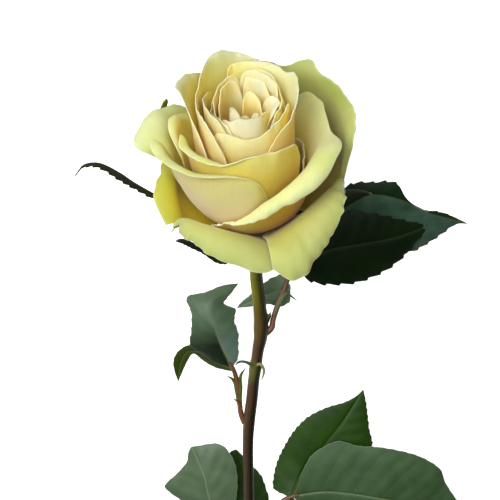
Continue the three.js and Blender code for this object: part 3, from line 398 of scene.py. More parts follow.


def petal_skin(name, foot, middle, top, rim, flush):
    """Rose petal: soft, matt and faintly velvety, lit through, with fine veins from foot to rim.

    Its colour goes from foot to rim, flush clouds the upper part, and the last half millimetre thins to a
    pale line, partly its own thin tissue and partly a painted highlight on the rim. Painted shade turns it
    golden on the side turned away from the key light. The clouds are 14 and 22 mm wide and the veins 0.6 mm.
    """
    skin, shader = new_material(name)
    here = add_node(skin, "ShaderNodeTexCoord", {}).outputs["Object"]
    sheet = add_node(skin, "ShaderNodeAttribute", {}, attribute_name="sheet").outputs["Vector"]
    split = add_node(skin, "ShaderNodeSeparateXYZ", {"Vector": sheet})
    clouds = add_node(skin, "ShaderNodeTexNoise", {
        "Vector": here, "Scale": 70.0, "Detail": 2.0}).outputs["Fac"]
    drift = add_node(skin, "ShaderNodeMath", {
        0: clouds, 1: 0.22, 2: -0.11}, operation="MULTIPLY_ADD").outputs[0]
    rise = add_node(skin, "ShaderNodeMath", {0: split.outputs["Y"], 1: drift}, operation="ADD").outputs[0]
    # The darker, more saturated foot colours that some skins get are partly the petal's own golden base and
    # partly painted shade deep in the bloom's cup
    ground = add_node(skin, "ShaderNodeValToRGB", {"Fac": rise}, stops=[
        (0.1, foot), (0.45, middle), (0.78, top), (0.98, rim)]).outputs["Color"]
    patches = add_node(skin, "ShaderNodeTexNoise", {
        "Vector": here, "Scale": 45.0, "Detail": 1.0}).outputs["Fac"]
    patch_share = add_node(skin, "ShaderNodeMapRange", {
        "Value": patches, "From Min": 0.5, "From Max": 0.72, "To Max": 0.6}).outputs["Result"]
    high = add_node(skin, "ShaderNodeMapRange", {
        "Value": split.outputs["Y"], "From Min": 0.45, "From Max": 0.95}).outputs["Result"]
    flush_share = add_node(skin, "ShaderNodeMath", {0: patch_share, 1: high}, operation="MULTIPLY").outputs[0]
    flushed = add_node(skin, "ShaderNodeMix", {
        "Factor": flush_share, "A": ground, "B": linear(flush)}, data_type="RGBA").outputs["Result"]
    lengthwise = add_node(skin, "ShaderNodeCombineXYZ", {
        "X": split.outputs["X"], "Y": rise}).outputs["Vector"]
    veins = add_node(skin, "ShaderNodeTexNoise", {
        "Vector": lengthwise, "Scale": 1.6, "Detail": 3.0}).outputs["Fac"]
    vein_shade = add_node(skin, "ShaderNodeMapRange", {
        "Value": veins, "From Min": 0.35, "From Max": 0.65, "To Min": 0.975, "To Max": 1.015}).outputs["Result"]
    veined = add_node(skin, "ShaderNodeVectorMath", {
        0: flushed, 1: vein_shade}, operation="MULTIPLY").outputs[0]
    # The pale line along the margin is partly the thin tissue's own paleness and partly a painted highlight on
    # the rim
    margin = add_node(skin, "ShaderNodeMapRange", {
        "Value": split.outputs["Z"], "From Min": 0.1, "From Max": 0.8,
        "To Min": 0.5, "To Max": 0.0}).outputs["Result"]
    edged = add_node(skin, "ShaderNodeMix", {
        "Factor": margin, "A": veined, "B": linear("#F2EEB8")}, data_type="RGBA").outputs["Result"]
    # Painted shade: faces turned away from the key light are multiplied towards gold
    facing = add_node(skin, "ShaderNodeNewGeometry", {}).outputs["Normal"]
    shade_facing = add_node(skin, "ShaderNodeVectorMath", {
        0: facing, 1: PAINTED_SHADE_SIDE}, operation="DOT_PRODUCT").outputs["Value"]
    painted_golden_shade = add_node(skin, "ShaderNodeMapRange", {
        "Value": shade_facing, "From Min": -0.15, "From Max": 0.55, "To Max": 0.82}).outputs["Result"]
    colour = add_node(skin, "ShaderNodeMix", {
        "Factor": painted_golden_shade, "A": edged, "B": linear("#F6DC70")}, data_type="RGBA", blend_type="MULTIPLY"
    ).outputs["Result"]
    bump = add_node(skin, "ShaderNodeBump", {
        "Height": veins, "Strength": 0.12, "Distance": 0.00015}).outputs["Normal"]
    shader.inputs["Roughness"].default_value = 0.62
    shader.inputs["Specular IOR Level"].default_value = 0.3
    shader.inputs["Subsurface Weight"].default_value = 0.85
    shader.inputs["Subsurface Radius"].default_value = (1.0, 0.8, 0.25)
    shader.inputs["Subsurface Scale"].default_value = 0.003
    shader.inputs["Sheen Weight"].default_value = 0.15
    shader.inputs["Sheen Roughness"].default_value = 0.5
    connect(skin, shader, Base_Color=colour, Normal=bump)
    return skin


# The petals' edge faces, paler than their faces: partly their own colour, partly a painted highlight
petal_margin = petal_skin("petal_margin", "#E4CE84", "#ECDA90", "#F0E6A0", "#EEE8A4", "#E6E294")
guard_outer = petal_skin("guard_petal_back", "#C4B860", "#CEC878", "#D2D084", "#D0D68C", "#B4C068")
guard_inner = petal_skin("guard_petal_face", "#BC982C", "#C0B04C", "#BEBC6A", "#B6BC6A", "#9EAA42")
# A darker, more saturated copy of the guard skin: painted shade for the left guard, which hangs under the lip of
# the petal above it
guard_painted_shade = petal_skin("guard_petal_painted_shade", "#B0920C", "#BEA81A", "#C6B82C", "#C6C248", "#9CA41C")

guard_petals = [  # rim rows: azimuth, radius, height, lean of the wall, and length and roll of the lip
    {"name": "guard_front_left", "foot": 10, "foot_azimuth": 243, "start": 84, "belly": 1.1, "rim": [
        (206, 33, 8, 60, 5.5, 90), (211, 33.4, 13.5, 54, 6.5, 125), (217, 33.5, 16.6, 52, 5, 135),
        (227, 33.3, 18, 50, 8.8, 130), (240, 33.1, 18.8, 50, 12.8, 125), (252, 32.9, 18.1, 52, 15.8, 120),
        (264, 32.2, 16, 56, 17.2, 115), (273, 31.9, 13.4, 60, 17, 105), (280.6, 31.9, 10.6, 62, 13.5, 85)]},
    {"name": "guard_front_right", "foot": 9.3, "foot_azimuth": 318, "start": 84, "belly": 1.1, "rim": [
        (279.4, 32.1, 12.8, 60, 16, 90), (287, 31.9, 13.6, 58, 24.5, 112), (293.5, 31.9, 15.4, 56, 25.5, 124),
        (299, 31.9, 16.8, 53, 21, 126), (307, 32, 18.9, 49.5, 20.5, 123), (317, 32.5, 21, 45, 16.5, 110),
        (329, 33.4, 22.8, 40, 11, 90), (339, 34.8, 23, 36, 5.5, 60), (345, 36.3, 22, 30, 2.6, 40),
        (348.5, 36.8, 15, 26, 1.5, 20)]},
    {"name": "guard_left", "foot": 10, "foot_azimuth": 170, "start": 84, "belly": 1.15, "rim": [
        (138, 29.5, 12, 20, 4, 40), (150, 30.5, 17, 15, 6, 80), (164, 31, 19, 12, 8, 100),
        (178, 30.8, 17.5, 12, 9.5, 105), (190, 30.4, 12, 18, 12.5, 88), (202, 29.6, 4, 30, 10, 70)]},
    {"name": "guard_back_left", "foot": 10.2, "foot_azimuth": 101, "start": 84, "belly": 1.15, "rim": [
        (64, 34, 6, 30, 3, 30), (76, 35.4, 13, 25, 5, 50), (88, 36.2, 17, 20, 6, 50),
        (101, 36.2, 18, 18, 7, 50), (114, 35.4, 17, 20, 6, 50), (126, 34, 13, 25, 5, 50),
        (135, 32, 6, 30, 3, 30)]},
    {"name": "guard_back_right", "foot": 9.5, "foot_azimuth": 30, "start": 82, "belly": 1.15, "rim": [
        (-9.5, 35, 14, 10, 3, 20), (-5, 36.5, 25, 12, 7, 45), (3, 38, 33, 12, 9, 50),
        (14, 38.5, 37.5, 10, 9, 50), (27, 38.5, 41, 8, 8, 40), (40, 37, 45, 6, 7, 35),
        (50, 36, 48, 8, 8, 50), (64, 35, 47.5, 5, 4, 30), (80, 34, 48.5, 5, 4, 25), (94, 33, 44, 5, 4, 20),
        (104, 32, 34, 5, 2, 10)]},
]
GUARD_RIPPLE = 0.6
FRONT_GUARD_RIPPLE = 1.0
PRESSED_THICKNESS = 0.2  # where the rose's weight presses a petal on the table

for count, petal in enumerate(guard_petals):
    skins = (guard_painted_shade, guard_painted_shade) if petal["name"] == "guard_left" else (guard_outer, guard_inner)
    ripple = FRONT_GUARD_RIPPLE if "front" in petal["name"] else GUARD_RIPPLE
    piece = add_petal(petal, (*skins, petal_margin), ripple, seed=10 + count)
    if petal["name"] == "guard_back_left":  # the rose lies on this one, which gives way to the table
        for vertex in piece.data.vertices:
            vertex.co.z = max(vertex.co.z, PRESSED_THICKNESS * MM if vertex.normal.z > 0 else 0)
    hand_over(piece, "outer_petal", petal["name"])


# Open petals
# The seven petals inside the guards, half open: creamy yellow and golden at the foot, that gold partly painted
# shade, the front left one flushed peach on its back. Most of them roll outwards at their upper margin into a
# soft lip.

# The backs' deep gold is partly their own colour and partly painted shade, as they are seen in shadow
open_outer = petal_skin("open_petal_back", "#B48006", "#C49C1C", "#D8C05A", "#DCD67C", "#CEC254")
belly_outer = petal_skin("belly_petal_back", "#F0AE84", "#F8CA98", "#EED284", "#DCDC80", "#ECD284")
open_inner = petal_skin("open_petal_face", "#CE9A14", "#E2C850", "#EAE48A", "#E6E898", "#C8D262")

open_petals = [
    {"name": "right_front", "foot": 8.5, "foot_azimuth": 318, "start": 80, "belly": 1.2, "rim": [
        (231.5, 26, 12.4, 38, 1, 20), (249, 27.9, 17.5, 30, 2, 60), (258, 29.3, 20.5, 18, 4, 120),
        (268, 29.8, 23.5, 8, 6, 170), (279, 30, 28, 5, 9, 180), (291, 30, 31.5, 5, 11, 185),
        (304, 30, 34.5, 5, 13, 180), (318, 29.6, 37, 6, 14.5, 160), (331, 28.6, 38.2, 11, 13.8, 125),
        (343, 27.6, 37, 20, 14, 90), (356, 26.6, 35.6, 28, 9.8, 50), (367, 26.1, 35.8, 27, 9.2, 32),
        (378, 25.8, 38, 26, 9.8, 30), (389, 25.6, 38.5, 26, 10.3, 30), (400, 25.5, 38.7, 25, 10.3, 30),
        (410, 25.3, 36.3, 22, 7, 25)]},
    {"name": "left_outer", "foot": 7.1, "foot_azimuth": 154, "start": 80, "belly": 1.2, "rim": [
        (131, 30.5, 30, 15, 3, 20), (140, 32, 36, 18, 6, 35), (151, 32.5, 37.5, 20, 9, 50),
        (161, 32.5, 38, 22, 12, 65), (169, 32, 36.5, 22, 14, 90), (175, 31, 34.5, 22, 17.5, 105),
        (180, 30.2, 31, 20, 16, 100), (184, 28.4, 25, 12, 5, 70)]},
    {"name": "back_under", "foot": 7.6, "foot_azimuth": 86, "start": 78, "belly": 1.15, "rim": [
        (59, 26.2, 28, 0, 2, 10), (67, 27.6, 40, 5, 3, 30), (79, 28.5, 46, 5, 6, 50),
        (94, 29, 46, 8, 8, 60), (108, 28.5, 41, 8, 7, 50), (119, 27.5, 29, 5, 3, 20)]},
    {"name": "back_right_inner", "foot": 6.8, "foot_azimuth": 22, "start": 74, "belly": 1.1, "rim": [
        (-23, 21.8, 24, 2, 1, 10), (-16, 21.9, 27, 2, 1, 10), (-4, 22, 29, 2, 1, 10),
        (10, 22, 29, 2, 1, 10), (26, 21.7, 29, 2, 1, 10), (44, 21.5, 28, 2, 1, 10),
        (58, 21.4, 24, 0, 1, 10)]},
    {"name": "front_left", "foot": 7.8, "foot_azimuth": 226, "start": 80, "belly": 1.25, "rim": [
        (185.5, 33.2, 30, 20, 2, 20), (188, 34, 41, 20, 5, 45), (193, 34, 42, 16, 7.5, 75),
        (200, 33, 39.6, 10, 8, 90), (210, 31.5, 38.8, 4, 8, 95), (224, 30.4, 38.6, 0, 8, 100),
        (242, 29.5, 39.6, -4, 7, 100), (260, 28.5, 40, -7, 5, 80), (274, 27.3, 38, -5, 2, 40),
        (283, 25.8, 31, 0, 1, 20), (288, 24.6, 21, 0, 1, 20)]},
    {"name": "left_inner", "foot": 6.4, "foot_azimuth": 166, "start": 76, "belly": 1.15, "rim": [
        (140, 26.5, 32, 5, 3, 20), (150, 27.5, 39, 8, 4, 40), (162, 28.5, 42, 12, 5, 60),
        (175, 28.5, 42, 12, 5, 70), (186, 27.5, 38, 8, 4, 60), (195, 26.8, 30, 0, 2, 30)]},
    {"name": "front_second", "foot": 6.8, "foot_azimuth": 268, "start": 70, "belly": 1.1, "rim": [
        (198, 26, 46, 5, 1, 20), (204, 26.3, 49, 5, 4, 50), (211, 26.3, 45, 5, 7, 80),
        (224, 26, 44, 0, 7.5, 100), (240, 26, 44.4, -4, 6.5, 110), (256, 26, 45.4, -5, 4, 80),
        (273, 25.5, 47.8, -4, 1.5, 20), (291, 25, 48.6, -2, 1, 0), (307, 24.6, 48, 2, 1, 0),
        (321, 24, 46, 4, 1, 0), (329, 23.2, 38, 3, 1, 0)]},
]
OPEN_RIPPLE = 0.55

for count, petal in enumerate(open_petals):
    back = belly_outer if petal["name"] == "front_left" else open_outer
    piece = add_petal(petal, (back, open_inner, petal_margin), OPEN_RIPPLE, seed=30 + count)
    hand_over(piece, "inner_petal", petal["name"])


# Bud petals
# The six petals that still stand round the heart as a bud: upright, overlapping, with bare thin rims.
# Light passes through them and turns golden between them, and painted golden shade deepens that gold.

bud_outer = petal_skin("bud_petal_back", "#C07A08", "#DCA236", "#F0CA78", "#F8ECA8", "#F2C48A")
bud_inner = petal_skin("bud_petal_face", "#D88A18", "#F4C852", "#FCEC94", "#FAF4B0", "#EEEA84")

bud_petals = [
    {"name": "left_tip", "foot": 5.8, "foot_azimuth": 165, "start": 70, "belly": 1.12, "rim": [
        (118, 24.5, 50, 10, 1, 10), (134, 24.6, 58, 10, 2, 20), (149, 24.6, 60.5, 14, 3, 30),
        (163, 24.6, 62, 18, 4, 40), (176, 24.6, 63.5, 22, 4, 50), (187, 24, 62.5, 16, 2, 20),
        (198, 23.2, 59, 12, 1, 0), (208, 22.7, 54, 10, 1, 0), (216, 22.3, 48.5, 8, 1, 0),
        (223, 22, 41, 8, 1, 0)]},
    {"name": "back_left_tall", "foot": 5.1, "foot_azimuth": 155, "start": 70, "belly": 1.05, "rim": [
        (64, 23.2, 52, 5, 1, 10), (75, 23.3, 59, 5, 2, 10), (87, 23, 61.5, 5, 2, 15),
        (101, 22.4, 63.5, 6, 3, 20), (114, 22, 66, 8, 3, 20), (126, 21.7, 65, 8, 3, 20),
        (146, 20.8, 62, 6, 2, 10), (168, 19.6, 60.5, 4, 1, 0), (190, 19.5, 59, 4, 1, 0),
        (206, 19.8, 58, 6, 1, 0), (220, 20.2, 56, 8, 1, 0), (231, 20.4, 52, 8, 1, 0),
        (241, 20.5, 47, 8, 1, 0), (247, 20.5, 40, 8, 1, 0)]},
    {"name": "bud_right", "foot": 4.4, "foot_azimuth": 378, "start": 70, "belly": 1.06, "rim": [
        (289, 19.6, 42, 4, 1, 0), (301, 19.8, 48.5, 6, 1, 0), (314, 20.3, 53, 8, 1, 0),
        (330, 21, 57.5, 12, 1, 0), (346, 20.8, 60, 15, 2, 10), (362, 20.4, 60.5, 15, 3, 20),
        (376, 20.2, 60.2, 12, 3.5, 25), (388, 20.2, 59.6, 12, 4.2, 25), (400, 20.2, 58.8, 10, 3, 20),
        (418, 20.2, 59.6, 8, 3, 20), (438, 19.8, 60.6, 6, 2.5, 20), (454, 18.8, 61.6, 4, 2, 10),
        (464, 18, 62.8, 2, 1, 0), (471, 17.2, 62.4, 0, 1, 0), (475, 16.6, 60, 0, 1, 0),
        (478, 16, 50, 0, 1, 0)]},
    {"name": "bud_left", "foot": 3, "foot_azimuth": 180, "start": 70, "belly": 0.94, "rim": [
        (122, 17, 46, 2, 1, 0), (134, 17.2, 52, 2, 1, 0), (149, 17.2, 56, 2, 1, 0),
        (170, 17, 58, 2, 1, 0), (192, 16.6, 59, 2, 1, 0), (212, 16.3, 59, 2, 1, 0),
        (228, 16.1, 57, 2, 1, 0), (238, 15.8, 53, 2, 1, 0), (245, 15.5, 46, 2, 1, 0)]},
    {"name": "bud_front", "foot": 3.7, "foot_azimuth": 288, "start": 70, "belly": 0.98, "rim": [
        (214, 17.9, 40, 0, 1, 0), (224, 17.7, 50, 0, 1, 0), (238, 17.5, 53, 0, 1, 0),
        (254, 17.4, 52.6, 0, 1, 0), (272, 17.3, 51, 0, 1, 0), (288, 17.3, 51.5, 0, 1, 0),
        (302, 17.3, 53.5, 0, 1, 0), (316, 17.4, 55.5, 2, 1, 0), (334, 17.4, 58, 4, 1, 0),
        (350, 17, 57, 4, 1, 0), (360, 16.6, 48, 4, 1, 0)]},
    {"name": "bud_second", "foot": 3.7, "foot_azimuth": 56, "start": 70, "belly": 0.95, "rim": [
        (6, 15.2, 42, 0, 1, 0), (18, 15.4, 50.5, 0, 1, 0), (34, 15.7, 56, 0, 2, 10),
        (50, 16.1, 59, 0, 2, 20), (66, 16.1, 60, 0, 2, 20), (80, 15.6, 60, 0, 2, 10),
        (94, 14.8, 58, -4, 1, 0), (106, 14, 50, -6, 1, 0)]},
]
BUD_RIPPLE = 0.38

for count, petal in enumerate(bud_petals):
    piece = add_petal(petal, (bud_outer, bud_inner, petal_margin), BUD_RIPPLE, seed=50 + count)
    hand_over(piece, "inner_petal", petal["name"])


# Heart
# The fifteen smallest petals, grown together in the middle of the bud on a slim core.
# They are the youngest: thin, creamy peach, with pale crinkled rims.

heart_outer = petal_skin("heart_petal_back", "#D09038", "#F0C47C", "#F8DE9C", "#FCF2C4", "#F6DCA0")
# The face's brown foot is partly its own colour and partly painted shade in the creases between the heart's
# petals
heart_inner = petal_skin("heart_petal_face", "#9C5A14", "#DCA03C", "#F4D480", "#FCF0B8", "#F2D488")

heart_petals = [
    {"name": "heart_1", "foot": 2.2, "foot_azimuth": 178, "start": 70, "belly": 0.95, "rim": [
        (110, 13.6, 48, 0, 1, 0), (118, 14, 54, 0, 1, 0), (128, 14.2, 55.5, 0, 1, 0),
        (142, 14.2, 54.5, 0, 1, 0), (160, 14, 53.5, 0, 1, 0), (184, 13.9, 53.5, 0, 1, 0),
        (206, 13.8, 54.5, 0, 1, 0), (226, 13.7, 55, 0, 1, 0), (240, 13.6, 54, 0, 1, 0),
        (250, 13.4, 48, 0, 1, 0)]},
    {"name": "heart_2", "foot": 2.2, "foot_azimuth": -14, "start": 70, "belly": 0.95, "rim": [
        (-52, 13.8, 48, 0, 1, 0), (-40, 14, 53.5, 0, 1, 0), (-24, 14.2, 55.5, 2, 2, 20),
        (-6, 14.2, 56, 2, 2, 20), (8, 13.9, 55, 2, 2, 20), (20, 13.6, 50, 0, 1, 0)]},
    {"name": "heart_3", "foot": 2.2, "foot_azimuth": 60, "start": 70, "belly": 0.95, "rim": [
        (14, 13, 50, -2, 1, 0), (26, 13.1, 59, -2, 1, 0), (40, 13.1, 61.4, 0, 1, 0),
        (55, 13, 62.2, 0, 1.5, 10), (70, 12.9, 62.8, 0, 1.5, 10), (86, 12.8, 62.4, 0, 1, 10),
        (97, 12.7, 60, 0, 1, 0), (105, 12.5, 52, 0, 1, 0)]},
    {"name": "heart_4", "foot": 1.9, "foot_azimuth": 262, "start": 70, "belly": 0.95, "rim": [
        (212, 12.2, 48, -2, 1, 0), (219, 12.5, 53.6, -3, 1, 0), (229, 12.6, 54.8, -4, 1, 0),
        (242, 12.6, 56, -4, 1, 0), (256, 12.4, 58, -4, 1, 0), (270, 12.3, 57.6, -4, 1, 0),
        (288, 12.2, 57, -4, 1, 0), (304, 12, 56, -4, 1, 0), (316, 12, 49, -2, 1, 0)]},
    {"name": "heart_5", "foot": 1.9, "foot_azimuth": 6, "start": 70, "belly": 0.95, "rim": [
        (-46, 10.2, 44, -2, 1, 0), (-32, 10.4, 50.5, 4, 3, 40), (-12, 10.4, 52.8, 8, 5, 55),
        (10, 10.3, 53, 8, 5, 55), (30, 9.8, 52.6, 6, 4, 45), (46, 9.4, 49.5, 0, 2, 20),
        (56, 9, 43, -2, 1, 0)]},
    {"name": "heart_6", "foot": 1.9, "foot_azimuth": 150, "start": 70, "belly": 0.95, "rim": [
        (98, 11.9, 52, -2, 1, 0), (106, 12.2, 60, 0, 1, 0), (118, 12.3, 61.4, 0, 1, 0),
        (132, 12.2, 61, 0, 1, 0), (148, 12.3, 60.6, 2, 1, 0), (164, 12.6, 59.4, 3, 1, 0),
        (180, 12.8, 57.6, 2, 1, 0), (194, 12.6, 55.4, 0, 1, 0), (206, 12, 48, -2, 1, 0)]},
    {"name": "heart_7", "foot": 1.4, "foot_azimuth": 76, "start": 72, "belly": 0.95, "rim": [
        (30, 6.8, 46, -4, 1, 0), (44, 7, 53, -4, 1, 0), (62, 7.1, 56, -3, 1, 0), (82, 7, 56.6, -2, 1, 10),
        (98, 6.8, 55, -4, 1, 0), (110, 6.4, 47, -6, 1, 0)]},
    {"name": "heart_8", "foot": 1.4, "foot_azimuth": 236, "start": 72, "belly": 0.95, "rim": [
        (200, 7.6, 46, -6, 1, 0), (210, 7.6, 53, -4, 1.5, 20), (222, 7.5, 57, -2, 2.4, 50),
        (238, 7.4, 57.4, -2, 2.6, 60), (252, 7.2, 54, -4, 1.5, 20), (264, 7, 46, -6, 1, 0)]},
    {"name": "heart_9", "foot": 1.1, "foot_azimuth": 205, "start": 72, "belly": 0.95, "rim": [
        (140, 5.4, 46, -4, 1, 0), (156, 5.6, 51.5, -2, 1, 10), (180, 5.6, 53.4, 0, 1.5, 30),
        (208, 5.3, 54, 0, 1.5, 30), (236, 4.9, 52.4, -2, 1, 10), (258, 4.6, 46, -4, 1, 0)]},
    {"name": "heart_10", "foot": 1.9, "foot_azimuth": 150, "start": 71, "belly": 0.95, "rim": [
        (96, 9.6, 48, -2, 1, 0), (103, 10, 55, 0, 1, 0), (112, 10.4, 60.4, 0, 1, 0),
        (128, 10.5, 60.4, 0, 1, 0), (146, 10.5, 59.8, 2, 1, 0), (164, 10.8, 58.4, 2, 1, 0),
        (182, 10.9, 56, 0, 1, 0), (198, 10.6, 48, -2, 1, 0)]},
    {"name": "heart_11", "foot": 1.9, "foot_azimuth": 66, "start": 71, "belly": 0.95, "rim": [
        (26, 11.2, 46, -2, 1, 0), (34, 11.3, 53, -2, 1, 0), (44, 11.3, 56.6, 0, 1, 0),
        (58, 11.2, 58.6, 0, 1.5, 10), (76, 11.1, 59.8, 0, 1.5, 10), (90, 11, 60.4, 0, 1, 0),
        (97, 10.8, 53, 0, 1, 0)]},
    {"name": "heart_12", "foot": 1.5, "foot_azimuth": 318, "start": 71, "belly": 0.95, "rim": [
        (272, 8.4, 44, -6, 1, 0), (286, 8.6, 50, -4, 1, 0), (304, 8.8, 53, -2, 1.5, 20),
        (324, 8.8, 53.4, 0, 2, 30), (344, 8.6, 52, 0, 2, 30), (364, 8.2, 50, -2, 1, 10),
        (378, 8, 44, -4, 1, 0)]},
    {"name": "heart_13", "foot": 1.2, "foot_azimuth": 20, "start": 72, "belly": 0.95, "rim": [
        (-50, 3.4, 38, -8, 1, 0), (-30, 4, 45, -4, 1, 10), (0, 4.2, 48, -2, 1.6, 30),
        (30, 4.2, 48.4, 0, 2, 40), (60, 4, 47, -2, 1.4, 20), (84, 3.4, 39, -6, 1, 0)]},
    {"name": "heart_14", "foot": 1, "foot_azimuth": 290, "start": 72, "belly": 0.95, "rim": [
        (222, 3.4, 38, -8, 1, 0), (244, 3.8, 45, -4, 1, 10), (274, 4, 47.4, 0, 1.8, 40),
        (300, 3.9, 47, 0, 1.8, 40), (326, 3.6, 44, -4, 1, 10), (344, 3.2, 37, -8, 1, 0)]},
    {"name": "heart_15", "foot": 0.8, "foot_azimuth": 130, "start": 74, "belly": 0.95, "rim": [
        (20, 1.8, 38, -8, 1, 0), (60, 2, 45, -2, 1.4, 30), (110, 2.2, 47.6, 2, 1.8, 60),
        (170, 2.2, 47, 2, 1.8, 60), (230, 2, 45.4, 0, 1.4, 30), (280, 1.8, 38, -6, 1, 0)]},
]
CORE_ROWS = [(8.2, 2.4), (12.5, 4.2), (20, 5.2), (30, 5), (38, 3.4), (40.5, 1)]  # height and radius
HEART_RIPPLE = 0.6

core = add_tube("core", [(*from_bloom(0, 0, height), radius) for height, radius in CORE_ROWS])
bpy.ops.object.shade_smooth()
core.data.materials.append(heart_inner)
hearts = [add_petal(petal, (heart_outer, heart_inner, petal_margin), HEART_RIPPLE, seed=70 + count)
          for count, petal in enumerate(heart_petals)]
heart = join(hearts + [core], "heart_petals")
hand_over(heart, "heart_petal", "bloom_heart")


# Sepals
# Five narrow green leaves that held the bud closed, turned back now from the hip's shoulder.
# They are tough, with saw teeth on three of them. Four are dark with a grey withered tip; the fifth is a bright
# green copy of their skin with painted light.

SEPAL_THICKNESS = 0.5
SEPAL_ROOT_RADIUS = 10.6
SEPAL_ROOT_HEIGHT = -2.3
SEPAL_ROOT_HALF_WIDTH = 3.4
SEPAL_CUP = 0.14  # how deep a sepal is hollowed, as a share of its half width
TEETH_TO_A_ROW = 2.1
SEPAL_GRID = (10, 90)  # faces across and along

sepals = [  # rows: azimuth, radius, height and half width
    {"name": "sepal_left", "azimuth": 171, "tooth": 1.3, "path": [
        (168, 21, -3.6, 2.2), (165, 33, -0.6, 1.1), (165, 42, 3.4, 1.1), (165, 51, 8.2, 1.5),
        (164.5, 57.5, 12.1, 1.8), (164.5, 65.5, 16.4, 1.3), (165, 72, 15.8, 0.8), (166, 75.6, 11.8, 0.3)]},
    {"name": "sepal_lower_left", "azimuth": 212, "tooth": 0.5, "path": [
        (208, 11.8, -10, 3.4), (197, 13.2, -19, 2.8), (187, 17.4, -21.2, 2), (180, 22.4, -18.6, 1),
        (176, 27.6, -15.8, 1.8), (174.5, 31.5, -14.4, 1.4), (173, 34, -15, 0.4)]},
    {"name": "sepal_back_left", "azimuth": 128, "tooth": 0, "path": [
        (134, 24, -3.4, 3.2), (141, 37, 4, 2.8), (144, 44, 17, 2.6), (144.5, 45.5, 29, 2.6),
        (144.3, 43.8, 36, 2.7), (144, 42.6, 40, 2.6), (143.8, 42.1, 42.2, 1.6)]},
    {"name": "sepal_right", "azimuth": 22, "tooth": 0, "path": [
        (21.5, 17, -4, 3.8), (20.5, 27, -3.4, 3.4), (20, 35, -1.6, 2.8), (19, 40, -1.2, 2.2),
        (18, 45.8, -1.9, 1.3), (17, 50.6, -4, 0.3)]},
    {"name": "sepal_under", "azimuth": 88, "tooth": 0.4, "path": [
        (88, 13, -7, 3.8), (89, 16.5, -15, 3.4), (90, 18, -24, 2.4), (91, 16.5, -33, 1.2),
        (92, 14.5, -38, 0.3)]},
]


def sepal_sheet(sepal, across, up):
    """A sepal's points, and for each its millimetres from the midrib, its share of the way out and 0."""
    root = (sepal["azimuth"], SEPAL_ROOT_RADIUS, SEPAL_ROOT_HEIGHT, SEPAL_ROOT_HALF_WIDTH)
    path = [root] + sepal["path"]
    azimuth, radius, height, half_width = between_rows(path, up * (len(path) - 1)).T
    side = 2 * across - 1
    saw = (up * len(path) * TEETH_TO_A_ROW) % 1
    teeth = sepal["tooth"] * saw * np.maximum(side, 0) * (up > 0.3)
    half_width = np.maximum(half_width, 0.25) * (1 - 0.15 * up) + teeth
    middle = from_bloom(azimuth, radius, height)
    angle = np.radians(azimuth)[:, None]
    sideways = np.cos(angle) * BLOOM_DOWN - np.sin(angle) * BLOOM_RIGHT
    cupped = SEPAL_CUP * half_width * (1 - side ** 2)
    points = middle + sideways * (side * half_width)[:, None] + BLOOM_AXIS * cupped[:, None]
    return points, np.stack([side * half_width, up, 0 * up], axis=1)


def sepal_skin(name, root, middle, tip):
    """Sepal: a tough, matt leaf, mottled in spots of 2 mm, whose colour goes from root to tip."""
    skin, shader = new_material(name)
    here = add_node(skin, "ShaderNodeTexCoord", {}).outputs["Object"]
    sheet = add_node(skin, "ShaderNodeAttribute", {}, attribute_name="sheet").outputs["Vector"]
    split = add_node(skin, "ShaderNodeSeparateXYZ", {"Vector": sheet})
    ground = add_node(skin, "ShaderNodeValToRGB", {"Fac": split.outputs["Y"]}, stops=[
        (0.0, root), (0.5, middle), (0.93, middle), (1.0, tip)]).outputs["Color"]
    mottle = add_node(skin, "ShaderNodeTexNoise", {
        "Vector": here, "Scale": 500.0, "Detail": 3.0}).outputs["Fac"]
    shade = add_node(skin, "ShaderNodeMapRange", {
        "Value": mottle, "From Min": 0.3, "From Max": 0.7, "To Min": 0.6, "To Max": 1.4}).outputs["Result"]
    colour = add_node(skin, "ShaderNodeVectorMath", {0: ground, 1: shade}, operation="MULTIPLY").outputs[0]
    bump = add_node(skin, "ShaderNodeBump", {
        "Height": mottle, "Strength": 0.4, "Distance": 0.0002}).outputs["Normal"]
    shader.inputs["Roughness"].default_value = 0.6
    shader.inputs["Specular IOR Level"].default_value = 0.08
    connect(skin, shader, Base_Color=colour, Normal=bump)
    return skin


sepal_dark = sepal_skin("sepal_face", "#3C4418", "#1C200F", "#77756C")
# The bright green copy of the sepal skin is painted light on the sepal at the back left
sepal_painted_light = sepal_skin("sepal_face_painted_light", "#4E5A1E", "#869A18", "#93A222")
for sepal in sepals:
    skin = sepal_painted_light if sepal["name"] == "sepal_back_left" else sepal_dark
    piece = add_sheet(
        sepal["name"] + "_blade", *SEPAL_GRID, lambda across, up: sepal_sheet(sepal, across, up),
        SEPAL_THICKNESS, (skin, skin, skin))
    hand_over(piece, "sepal_green", sepal["name"])


# Leaves
# Four compound leaves: each a stalk with two or three toothed leaflets, waxy above and pale below.
# A stalk grows from its node, and two of the four keep the stipules that wing a stalk.

LEAF_THICKNESS = 0.36
LEAF_GRAIN = 0.6
MARGIN_LIFT = 0.05  # how far a blade arches between midrib and margin, as a share of its width
VEIN_PITCH = 6.5  # from one side vein to the next
VEIN_SLANT = 0.62  # how far a side vein runs along the blade for each millimetre outwards
QUILT_DEPTH = 0.08  # of the swellings between the side veins
GROOVE_DEPTH = 0.25  # of the groove along the midrib
TABLE_GAP = 0.15  # under the lowest leaves


